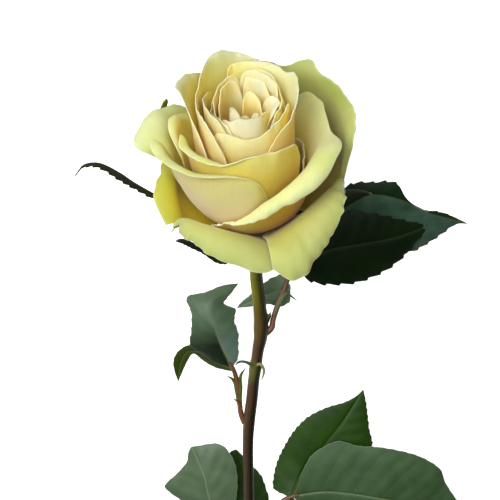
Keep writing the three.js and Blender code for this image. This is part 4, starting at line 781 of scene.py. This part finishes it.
def smooth_line(points, places):
    """Points at shares of the length of a smooth curve through the given points."""
    knots = np.asarray(points, float)
    knots = np.vstack([2 * knots[0] - knots[1], knots, 2 * knots[-1] - knots[-2]])
    t = np.linspace(0, 1, 24, endpoint=False)[:, None]
    dense = []
    for p0, p1, p2, p3 in zip(knots, knots[1:], knots[2:], knots[3:]):
        d0, d1, d2 = (math.sqrt(np.linalg.norm(b - a)) for a, b in ((p0, p1), (p1, p2), (p2, p3)))
        slope_in = ((p1 - p0) / d0 - (p2 - p0) / (d0 + d1) + (p2 - p1) / d1) * d1
        slope_out = ((p2 - p1) / d1 - (p3 - p1) / (d1 + d2) + (p3 - p2) / d2) * d1
        dense.append(p1 + slope_in * t + (3 * (p2 - p1) - 2 * slope_in - slope_out) * t ** 2
                     + (2 * (p1 - p2) + slope_in + slope_out) * t ** 3)
    dense = np.vstack(dense + [knots[-2]])
    run = np.concatenate([[0], np.cumsum(np.linalg.norm(np.diff(dense, axis=0), axis=1))])
    return np.stack([np.interp(places * run[-1], run, dense[:, k]) for k in range(3)], axis=1), run[-1]


def leaflet_sheet(leaflet, across, up):
    """A leaflet's points, and for each its millimetres from the midrib, along it, and from the margin.

    The teeth point towards the tip. The blade swells a little between its side veins.
    """
    side = 2 * across - 1
    middle, length = smooth_line(leaflet["midrib"], up)
    left, left_length = smooth_line(leaflet["left"], up)
    right, right_length = smooth_line(leaflet["right"], up)
    margin = np.where(side[:, None] < 0, left, right)
    margin_length = np.where(side < 0, left_length, right_length)
    width = np.linalg.norm(margin - middle, axis=1)
    saw = (up * np.round(margin_length / leaflet["tooth_pitch"])) % 1
    notch = leaflet["tooth"] * (1 - saw ** 1.3) * smooth_step(width / 5)
    share = np.abs(side) * (1 - notch / np.maximum(width, 1e-3) * np.abs(side) ** 6)
    points = middle + (margin - middle) * share[:, None]
    from_midrib = share * width
    lift = MARGIN_LIFT * width * 4 * np.abs(side) * (1 - np.abs(side))
    vein = (up * length - VEIN_SLANT * from_midrib) / VEIN_PITCH
    quilted = smooth_step(from_midrib / 4) * smooth_step((width - from_midrib) / 5)
    quilt = -QUILT_DEPTH * np.cos(2 * np.pi * vein) * quilted
    groove = -GROOVE_DEPTH * np.exp(-(from_midrib / 0.7) ** 2) * smooth_step(8 * (1 - up))
    points[:, 2] = np.maximum(points[:, 2] + lift + quilt + groove, LEAF_THICKNESS / 2 + TABLE_GAP)
    from_margin = (width - notch) * (1 - np.abs(side))
    return points, np.stack([from_midrib * np.sign(side), up * length, from_margin], axis=1)


def add_leaflet(leaflet, materials):
    """One toothed blade."""
    _, length = smooth_line(leaflet["midrib"], np.zeros(1))
    left, right = (smooth_line(leaflet[side], np.array([0.4]))[0] for side in ("left", "right"))
    width = np.linalg.norm(left - right)
    return add_sheet(
        "leaflet", 2 * round(width / LEAF_GRAIN / 2), round(length / LEAF_GRAIN * 1.25),
        lambda across, up: leaflet_sheet(leaflet, across, up), LEAF_THICKNESS, materials)


def leaf_skin(name, deep, bright, vein, stalk_shade_and_sheen=None, painted_shade_left_half=None, roughness=0.46, gloss=0.2):
    """Rose leaf: a waxy blade, with a midrib, side veins and a thin margin of another green.

    It is clouded every 9 mm, and its smallest veins make a net of 1 mm. The colours given for next to the stalk
    are painted shade on the left half and painted sheen on the right, and the one given for the whole left half
    is painted shade. gloss is how strongly the wax shines.
    """
    skin, shader = new_material(name)
    here = add_node(skin, "ShaderNodeTexCoord", {}).outputs["Object"]
    sheet = add_node(skin, "ShaderNodeAttribute", {}, attribute_name="sheet").outputs["Vector"]
    split = add_node(skin, "ShaderNodeSeparateXYZ", {"Vector": sheet})
    out = add_node(skin, "ShaderNodeMath", {0: split.outputs["X"]}, operation="ABSOLUTE").outputs[0]
    clouds = add_node(skin, "ShaderNodeTexNoise", {
        "Vector": here, "Scale": 110.0, "Detail": 3.0}).outputs["Fac"]
    cloud_share = add_node(skin, "ShaderNodeMapRange", {
        "Value": clouds, "From Min": 0.35, "From Max": 0.65}).outputs["Result"]
    ground = add_node(skin, "ShaderNodeMix", {
        "Factor": cloud_share, "A": linear(deep), "B": linear(bright)}, data_type="RGBA").outputs["Result"]
    right_share = add_node(skin, "ShaderNodeMapRange", {
        "Value": split.outputs["X"], "From Min": -1.0, "From Max": 0.5}).outputs["Result"]
    # Next to the stalk: painted shade on the left half and painted sheen on the right half
    if stalk_shade_and_sheen:
        from_stalk = add_node(skin, "ShaderNodeMapRange", {
            "Value": split.outputs["Y"], "From Min": 12.0, "From Max": 24.0}).outputs["Result"]
        halves = add_node(skin, "ShaderNodeMix", {
            "Factor": right_share, "A": linear(stalk_shade_and_sheen[0]), "B": linear(stalk_shade_and_sheen[1])}, data_type="RGBA")
        ground = add_node(skin, "ShaderNodeMix", {
            "Factor": from_stalk, "A": halves.outputs["Result"], "B": ground}, data_type="RGBA").outputs["Result"]
    # The whole left half in one colour: painted shade
    if painted_shade_left_half:
        ground = add_node(skin, "ShaderNodeMix", {
            "Factor": right_share, "A": linear(painted_shade_left_half), "B": ground}, data_type="RGBA").outputs["Result"]
    slanted = add_node(skin, "ShaderNodeMath", {
        0: out, 1: -VEIN_SLANT, 2: split.outputs["Y"]}, operation="MULTIPLY_ADD").outputs[0]
    vein_count = add_node(skin, "ShaderNodeMath", {0: slanted, 1: VEIN_PITCH}, operation="DIVIDE").outputs[0]
    wave = add_node(skin, "ShaderNodeMath", {0: vein_count, 1: 1.0}, operation="PINGPONG").outputs[0]
    side_vein = add_node(skin, "ShaderNodeMapRange", {
        "Value": wave, "From Min": 0.0, "From Max": 0.06, "To Min": 0.09, "To Max": 0.0}).outputs["Result"]
    midrib = add_node(skin, "ShaderNodeMapRange", {
        "Value": out, "From Min": 0.15, "From Max": 0.5, "To Min": 0.6, "To Max": 0.0}).outputs["Result"]
    edge = add_node(skin, "ShaderNodeMapRange", {
        "Value": split.outputs["Z"], "From Min": 0.1, "From Max": 0.45,
        "To Min": 0.45, "To Max": 0.0}).outputs["Result"]
    if stalk_shade_and_sheen:  # the midrib sinks into the blade beyond the part near the stalk
        near_share = add_node(skin, "ShaderNodeMath", {0: 1.0, 1: from_stalk}, operation="SUBTRACT").outputs[0]
        midrib = add_node(skin, "ShaderNodeMath", {0: midrib, 1: near_share}, operation="MULTIPLY").outputs[0]
    lines = add_node(skin, "ShaderNodeMath", {0: side_vein, 1: midrib}, operation="MAXIMUM").outputs[0]
    light_lines = add_node(skin, "ShaderNodeMath", {0: lines, 1: edge}, operation="MAXIMUM").outputs[0]
    colour = add_node(skin, "ShaderNodeMix", {
        "Factor": light_lines, "A": ground, "B": linear(vein)}, data_type="RGBA").outputs["Result"]
    cells = add_node(skin, "ShaderNodeTexVoronoi", {
        "Vector": here, "Scale": 900.0}, feature="DISTANCE_TO_EDGE").outputs[0]
    relief = add_node(skin, "ShaderNodeMath", {
        0: lines, 1: -2.0, 2: cells}, operation="MULTIPLY_ADD").outputs[0]
    bump = add_node(skin, "ShaderNodeBump", {
        "Height": relief, "Strength": 0.3, "Distance": 0.0001}).outputs["Normal"]
    shader.inputs["Roughness"].default_value = roughness
    shader.inputs["Specular IOR Level"].default_value = gloss
    connect(skin, shader, Base_Color=colour, Normal=bump)
    return skin


leaf_under = leaf_skin("leaf_underside", "#56704E", "#627C58", "#82967A", roughness=0.65, gloss=0.3)
# Nearly black: partly its own deep green and partly painted shade
leaf_dark = leaf_skin("leaf_dark_green", "#0B1906", "#10200A", "#2A361C", gloss=0.1)
# Its left half is painted shade, nearly black, and the lighter grey-teal of its right half is painted sheen
leaf_teal = leaf_skin("leaf_teal_green", "#26402E", "#3C5444", "#4A4E34", painted_shade_left_half="#0E2608", gloss=0.12)
# A paler copy of the leaf green: painted light on a leaflet that lies in the bloom's shadow
leaf_pale = leaf_skin("leaf_pale_green", "#5E7256", "#6A7E60", "#7C8C68", gloss=0.3)
leaf_grey = leaf_skin("leaf_grey_green", "#465A40", "#52664A", "#74805E", gloss=0.35)
# Its left half next to the stalk is painted shade, nearly black, and its right half there painted blue-grey sheen
leaf_turned = leaf_skin(
    "leaf_turned_green", "#40563E", "#4C6248", "#80704C", stalk_shade_and_sheen=("#081C04", "#566C5C"), gloss=0.35)
leaf_dull = leaf_skin("leaf_dull_green", "#324A2A", "#3C5634", "#788660", gloss=0.35)
leaf_olive = leaf_skin("leaf_olive_green", "#26350A", "#33420E", "#505E24")
leaf_fresh = leaf_skin("leaf_fresh_green", "#173402", "#213F03", "#38560F")

# Leaf stalk: a thin shoot, green below and tan on top, partly its own flush and partly painted light from
# above, and mottled every 4 mm
stalk_skin, stalk_shader = new_material("leaf_stalk")
here = add_node(stalk_skin, "ShaderNodeTexCoord", {}).outputs["Object"]
top_light = add_node(stalk_skin, "ShaderNodeSeparateXYZ", {
    "Vector": add_node(stalk_skin, "ShaderNodeNewGeometry", {}).outputs["Normal"]}).outputs["Z"]
mottle = add_node(stalk_skin, "ShaderNodeTexNoise", {"Vector": here, "Scale": 250.0}).outputs["Fac"]
# Tan and lighter on the upward faces: partly a real flush, partly painted light from above
flush_and_painted_top_light = add_node(stalk_skin, "ShaderNodeMath", {
    0: top_light, 1: 0.6, 2: mottle}, operation="MULTIPLY_ADD").outputs[0]
stalk_colour = add_node(stalk_skin, "ShaderNodeValToRGB", {"Fac": flush_and_painted_top_light}, stops=[
    (0.35, "#26300C"), (0.75, "#463A16"), (1.05, "#683F24")]).outputs["Color"]
stalk_bump = add_node(stalk_skin, "ShaderNodeBump", {
    "Height": mottle, "Strength": 0.3, "Distance": 0.0002}).outputs["Normal"]
stalk_shader.inputs["Roughness"].default_value = 0.45
connect(stalk_skin, stalk_shader, Base_Color=stalk_colour, Normal=stalk_bump)

# The stipules that wing a stalk: thin green tissue, light and dark in turn every 3 mm
wing_skin, wing_shader = new_material("stalk_wings")
here = add_node(wing_skin, "ShaderNodeTexCoord", {}).outputs["Object"]
mottle = add_node(wing_skin, "ShaderNodeTexNoise", {"Vector": here, "Scale": 300.0}).outputs["Fac"]
wing_colour = add_node(wing_skin, "ShaderNodeValToRGB", {"Fac": mottle}, stops=[
    (0.3, "#2C3C0E"), (0.7, "#54661E")]).outputs["Color"]
wing_shader.inputs["Roughness"].default_value = 0.5
connect(wing_skin, wing_shader, Base_Color=wing_colour)

leaves = [  # rows: x, y and z, and for stalks and wings the radius
    {"name": "leaf_upper_right",
     "stalks": [
         [(3.6, -57, 19.6, 1.6), (5.8, -55.2, 19.7, 1.5), (7.1, -53.8, 19.6, 1.35), (7.6, -51, 19.3, 1.2),
          (8.6, -47, 18.5, 1.1), (10.4, -42.2, 17.1, 1), (12.4, -38, 15.6, 1), (14, -34, 14.6, 1),
          (20, -27, 13.1, 1), (28, -14.5, 10.5, 0.9), (35, -6.5, 8.2, 0.8), (37, -5, 8, 0.5)]],
     "wings": [
         [(8.4, -50, 19.2, 0.6), (9.6, -46, 18.6, 0.7), (12, -40.6, 17.6, 0.7), (13.4, -39.2, 17.2, 0.6),
          (15.2, -40.6, 17, 0.4), (17.7, -42.8, 16.6, 0.15)]],
     "leaflets": [
         {"skin": leaf_dark, "tooth": 1.3, "tooth_pitch": 6.2,
          "midrib": [(20, -27, 13), (31.5, -21.5, 12.5), (44, -19.5, 11.5), (59, -17.5, 8.5), (74, -13.5, 4)],
          "left": [(20.5, -25.5, 13), (26.5, -10, 12), (36.5, -4.7, 12), (49, -5.3, 10.5), (61, -9, 8),
                   (74, -13.5, 4)],
          "right": [(19.5, -28.5, 12.5), (20.5, -35, 10.5), (26, -38.5, 9), (34.5, -39.5, 8), (44, -38.5, 7.5),
                    (56.5, -33, 6.5), (65.5, -25, 5.5), (74, -13.5, 4)]},
         {"skin": leaf_teal, "tooth": 1.2, "tooth_pitch": 5,
          "midrib": [(35, -6.5, 8), (40.5, -3, 8), (49, 1, 7.5), (61, -1.5, 6.5), (76, -9, 4), (90, -14, 0.6)],
          "left": [(34.5, -5.5, 8), (35, 2.5, 7.5), (40.5, 6.5, 7), (49, 7, 6.5), (59, 6.5, 6), (63, -1, 5.5),
                   (68.5, -6, 4.5), (78.5, -8, 2.5), (90, -14, 0.6)],
          "right": [(35.5, -7.5, 7.8), (41, -18, 5.5), (53, -25.5, 4), (66, -26.5, 3), (73, -23, 2.5),
                    (79.5, -18.5, 2), (85.5, -14, 1.3), (90, -14, 0.6)]},
         {"skin": leaf_pale, "tooth": 0.5, "tooth_pitch": 4,
          "midrib": [(15, -37.5, 15), (10.5, -39.5, 13.5), (3, -43, 11.5), (-7.5, -49, 9)],
          "left": [(15, -38.5, 15), (15, -44.5, 13), (12, -47, 12.5), (5.5, -46.5, 11.5), (-1, -48, 10),
                   (-7.5, -49, 9)],
          "right": [(15, -36.5, 15), (12, -32, 14), (6.5, -34, 13), (0, -40.5, 11), (-6, -46.5, 9.5),
                    (-7.5, -49, 9)]}]},
    {"name": "leaf_mid_left",
     "stalks": [
         [(-4.4, -99, 16.7, 1.2), (-5.4, -96.5, 16.8, 1.2), (-6.1, -93.5, 16.9, 1.2), (-6.4, -91, 17, 1.1),
          (-6.6, -86, 17.2, 1.1), (-7.5, -80, 17.6, 1.1), (-8.6, -75, 18.1, 1), (-10, -71.6, 18.5, 0.9),
          (-11, -70, 18.9, 0.6)],
         [(-5.9, -91.5, 17.4, 0.9), (-6.9, -88.8, 18.4, 0.7), (-9.1, -86.5, 19.4, 0.15)]],
     "wings": [
         [(-6.9, -90, 17.3, 0.8), (-7.7, -84, 17.6, 0.9), (-9.3, -78.4, 18.1, 0.7), (-11.8, -76.4, 18.6, 0.15)],
         [(-6.3, -88, 17.4, 0.8), (-6, -82, 17.9, 0.8), (-6, -76.4, 18.5, 0.7), (-4, -72.4, 19.6, 0.15)]],
     "leaflets": [
         {"skin": leaf_turned, "tooth": 0.45, "tooth_pitch": 4,
          "midrib": [(-10, -72, 18.5), (-14, -62, 20.5), (-17, -53, 22), (-19.5, -46.5, 20.5), (-17.5, -41.5, 18),
                     (-13, -38.5, 15.5), (-7, -36.5, 13)],
          "left": [(-11, -72.2, 18.3), (-17, -71, 17), (-21.5, -68, 16.5), (-27.5, -63, 17), (-27, -55.5, 18),
                   (-27, -48, 17), (-29, -42.5, 13.5), (-21, -40, 14), (-14, -37, 14), (-7, -36.5, 13)],
          "right": [(-9.2, -71.8, 18.5), (-7, -68.5, 18), (-6.8, -61.5, 18), (-6.8, -57, 18), (-8.5, -51.5, 17.5),
                    (-8, -47, 16), (-11.5, -45.5, 16), (-13, -44, 16.5), (-10.5, -41, 15), (-7, -36.5, 13)]},
         {"skin": leaf_olive, "tooth": 0.3, "tooth_pitch": 4,
          "midrib": [(-9.8, -73.5, 18), (-17.5, -71.5, 14.5), (-24, -68, 12.5), (-29, -69, 10.5), (-32, -76, 8),
                     (-33, -84.5, 5.5)],
          "left": [(-9.4, -74.6, 17.8), (-16.5, -74.5, 14), (-21.5, -72.5, 12), (-26, -69, 11.5), (-29, -74, 9),
                   (-31.5, -80.5, 6.5), (-33, -84.5, 5.5)],
          "right": [(-10.2, -72.6, 17.8), (-17.5, -68, 14.2), (-23, -64.5, 12.6), (-28.5, -65, 11.6),
                    (-33, -68.5, 10.5), (-35, -73.5, 8.5), (-34.5, -79, 7), (-33, -84.5, 5.5)]}]},
    {"name": "leaf_lower_left",
     "stalks": [
         [(-0.2, -185.6, 11.3, 1.5), (-3.8, -185.4, 11.3, 1.4), (-5.4, -181, 11.1, 1.2), (-7.2, -169, 10.5, 1.1),
          (-9, -158.5, 9.7, 1), (-13, -152.5, 11, 0.8), (-17, -147, 12.1, 0.6)],
         [(-8.8, -159.5, 9.7, 0.9), (-4.5, -156.5, 8.5, 0.8), (-1, -153, 7.9, 0.5)]],
     "leaflets": [
         {"skin": leaf_grey, "tooth": 0.3, "tooth_pitch": 5,
          "midrib": [(-16, -148.5, 12), (-20, -136, 12.5), (-22.5, -124.5, 12), (-27.5, -113.5, 9.5)],
          "left": [(-17, -149, 11.8), (-25.5, -146, 9), (-32.5, -140, 7.5), (-36.5, -137.5, 6.5),
                   (-39.5, -134.5, 5.5), (-33.5, -126.5, 8), (-29.5, -121, 8.5), (-29, -117, 8.8),
                   (-27.5, -113.5, 9.5)],
          "right": [(-15, -148, 12), (-9.5, -142, 11.5), (-7.5, -133.5, 11), (-8, -123, 10.5), (-10, -117.5, 10),
                    (-13.5, -113, 9.5), (-17, -112, 9), (-23.5, -113, 9), (-27.5, -113.5, 9.5)]},
         {"skin": leaf_fresh, "tooth": 0.4, "tooth_pitch": 4,
          "midrib": [(-1, -154.5, 8), (-2, -142.5, 7), (-4, -130.5, 5), (-8, -118, 2.5)],
          "left": [(-2, -154.5, 7.8), (-10, -147, 5.5), (-12.5, -134.5, 4.5), (-12.5, -125, 3.5), (-11, -119, 3),
                   (-8, -118, 2.5)],
          "right": [(0, -154.5, 8), (6, -148, 6), (6.5, -140.5, 5.5), (5, -135, 5), (3, -129.5, 4.5),
                    (-0.5, -125.5, 4), (-5, -121, 3), (-8, -118, 2.5)]},
         {"skin": leaf_grey, "tooth": 0.6, "tooth_pitch": 4.5,
          "midrib": [(-8.8, -158.5, 9.7), (-19, -167, 8), (-28.5, -179.5, 5.5), (-37, -195, 0.6)],
          "left": [(-8.4, -160, 9.6), (-12.5, -176, 6), (-21, -188, 4), (-30, -194.5, 2.5), (-37, -195, 0.6)],
          "right": [(-9.6, -157.8, 9.6), (-23, -160, 6.5), (-33.5, -170, 4.5), (-38.5, -182.5, 3),
                    (-37, -195, 0.6)]}]},
    {"name": "leaf_lower_right",
     "stalks": [
         [(-0.6, -161.2, 12.9, 1.5), (2.6, -160.9, 12.9, 1.4), (4.6, -156.5, 13.1, 1.2), (6, -147, 13.1, 1.1),
          (10.5, -139.5, 12.6, 1), (17, -135.8, 12.1, 1), (19, -135.5, 12, 0.6)]],
     "leaflets": [
         {"skin": leaf_fresh, "tooth": 0.55, "tooth_pitch": 3,
          "midrib": [(16, -136, 12), (21, -125, 8.5), (29.5, -115, 7), (38, -104, 5.5), (47, -89.5, 2.5)],
          "left": [(15, -136.5, 12), (8, -134, 8.5), (8, -128.5, 7.5), (9.5, -122, 6.5), (12.5, -115, 6),
                   (16.5, -108, 5.5), (22.5, -101.5, 5), (31, -97, 4.5), (39.5, -94.5, 4), (44.5, -92, 3),
                   (47, -89.5, 2.5)],
          "right": [(17, -135.5, 11.6), (26.5, -133, 7), (39.5, -126.5, 6), (49.5, -121, 5.5), (51.5, -114.5, 5),
                    (50, -107, 4.5), (48.5, -95.5, 3), (47, -89.5, 2.5)]},
         {"skin": leaf_dull, "tooth": 0.25, "tooth_pitch": 5,
          "midrib": [(17, -135.8, 12), (30.5, -134, 12), (43.5, -135.5, 11.5), (59, -139, 10), (74.5, -142.5, 7),
                     (90.2, -144, 3)],
          "left": [(17.2, -134.8, 12.2), (19, -129.5, 12), (21, -123.5, 11.5), (24.5, -117, 10.8),
                   (29, -113.5, 10.5), (36, -110.5, 10), (45, -113, 9.5), (53, -113.5, 9.5), (63, -115.5, 9),
                   (72.5, -119, 8), (81, -125.5, 6.5), (83.5, -132.5, 5), (90.2, -144, 3)],
          "right": [(17.2, -136.8, 12), (24, -146, 10), (37.5, -153.5, 9), (53, -157.5, 8), (68.5, -158, 6),
                    (82, -153, 4.5), (90.2, -144, 3)]},
         {"skin": leaf_fresh, "tooth": 0.5, "tooth_pitch": 4,
          "midrib": [(16, -136.5, 12), (22, -154, 8.5), (30, -169.5, 5.5), (39, -189, 0.6)],
          "left": [(16.8, -136.8, 11.8), (29.5, -154, 7), (39, -167, 4.5), (42, -179.5, 2.5), (39, -189, 0.6)],
          "right": [(15, -137, 11.8), (14, -154.5, 8), (18.5, -170.5, 5), (27.5, -183, 2.5), (39, -189, 0.6)]}]},
]
for leaf in leaves:
    parts = [add_leaflet(leaflet, (leaflet["skin"], leaf_under, leaflet["skin"])) for leaflet in leaf["leaflets"]]
    for kind, skin in (("stalks", stalk_skin), ("wings", wing_skin)):
        for rows in leaf.get(kind, ()):
            part = add_tube("stalk", rows)
            bpy.ops.object.shade_smooth()
            part.data.materials.append(skin)
            parts.append(part)
    piece = join(parts, leaf["name"] + "_blades")
    hand_over(piece, "leaf_green", leaf["name"])


# Studio
# A white sheet that the rose lies on, lit through like a light table so that hardly a shadow shows on it.
# One soft light stands to the left on the bloom's side, a larger and weaker one behind the camera, and the
# room is white at its upper left and dim elsewhere.

FLOOR_SIZE = 4  # in metres
FLOOR_DEPTH = 0.1  # under the rose's lowest faces

bpy.ops.mesh.primitive_plane_add(size=FLOOR_SIZE, location=(0, 0, -FLOOR_DEPTH * MM))
floor = bpy.context.object
floor.name = "studio_floor"

# Paper: white and matt with a tooth of 1 mm, and bright with the light behind it
paper, paper_shader = new_material("floor_paper")
here = add_node(paper, "ShaderNodeTexCoord", {}).outputs["Object"]
tooth = add_node(paper, "ShaderNodeTexNoise", {"Vector": here, "Scale": 900.0}).outputs["Fac"]
paper_colour = add_node(paper, "ShaderNodeValToRGB", {"Fac": tooth}, stops=[
    (0.0, "#F4F4F2"), (1.0, "#FAFAF8")]).outputs["Color"]
paper_shader.inputs["Roughness"].default_value = 0.9
paper_shader.inputs["Emission Color"].default_value = (1, 1, 1, 1)
paper_shader.inputs["Emission Strength"].default_value = 0.9
connect(paper, paper_shader, Base_Color=paper_colour)
floor.data.materials.append(paper)
floor.visible_diffuse = False  # its glow doesn't reach the rose

CAMERA_TILT = math.radians(-20)
SENSOR_WIDTH = 36
FRAME_WIDTH = 0.205  # what the photograph's width takes in, a metre away
bpy.ops.object.camera_add(location=place((-2.05, 328.54, 974.6)), rotation=(CAMERA_TILT, 0, 0))
camera = bpy.context.object
camera.data.sensor_width = SENSOR_WIDTH
camera.data.lens = SENSOR_WIDTH / FRAME_WIDTH
bpy.context.scene.camera = camera


def add_softbox(name, size, watts, position, target):
    """A square soft light at a position in metres, turned to a target."""
    bpy.ops.object.light_add(type="AREA", location=position)
    light = bpy.context.object
    light.name = name
    light.data.size = size
    light.data.energy = watts
    light.rotation_euler = (Vector(position) - Vector(target)).to_track_quat("Z", "Y").to_euler()


add_softbox("key_light", 0.9, 16.5, (-0.7, 0.8, 1.1), (0, 0.08, 0))
add_softbox("front_light", 1.2, 12, (0.1, 0.7, 1.3), (0, 0.05, 0))

world = bpy.data.worlds.new("soft_room")
bpy.context.scene.world = world
world.use_nodes = True
toward = add_node(world, "ShaderNodeTexCoord", {}).outputs["Generated"]
leftness = add_node(world, "ShaderNodeVectorMath", {
    0: toward, 1: (-0.6, 0.3, 0.74)}, operation="DOT_PRODUCT").outputs["Value"]
room = add_node(world, "ShaderNodeValToRGB", {"Fac": leftness}, stops=[
    (0.0, "#262420"), (0.35, "#5A5850"), (0.9, "#F2F4F6")]).outputs["Color"]
world.node_tree.links.new(room, world.node_tree.nodes["Background"].inputs["Color"])
world.node_tree.nodes["Background"].inputs["Strength"].default_value = 0.62
bpy.context.scene.view_settings.view_transform = "Standard"
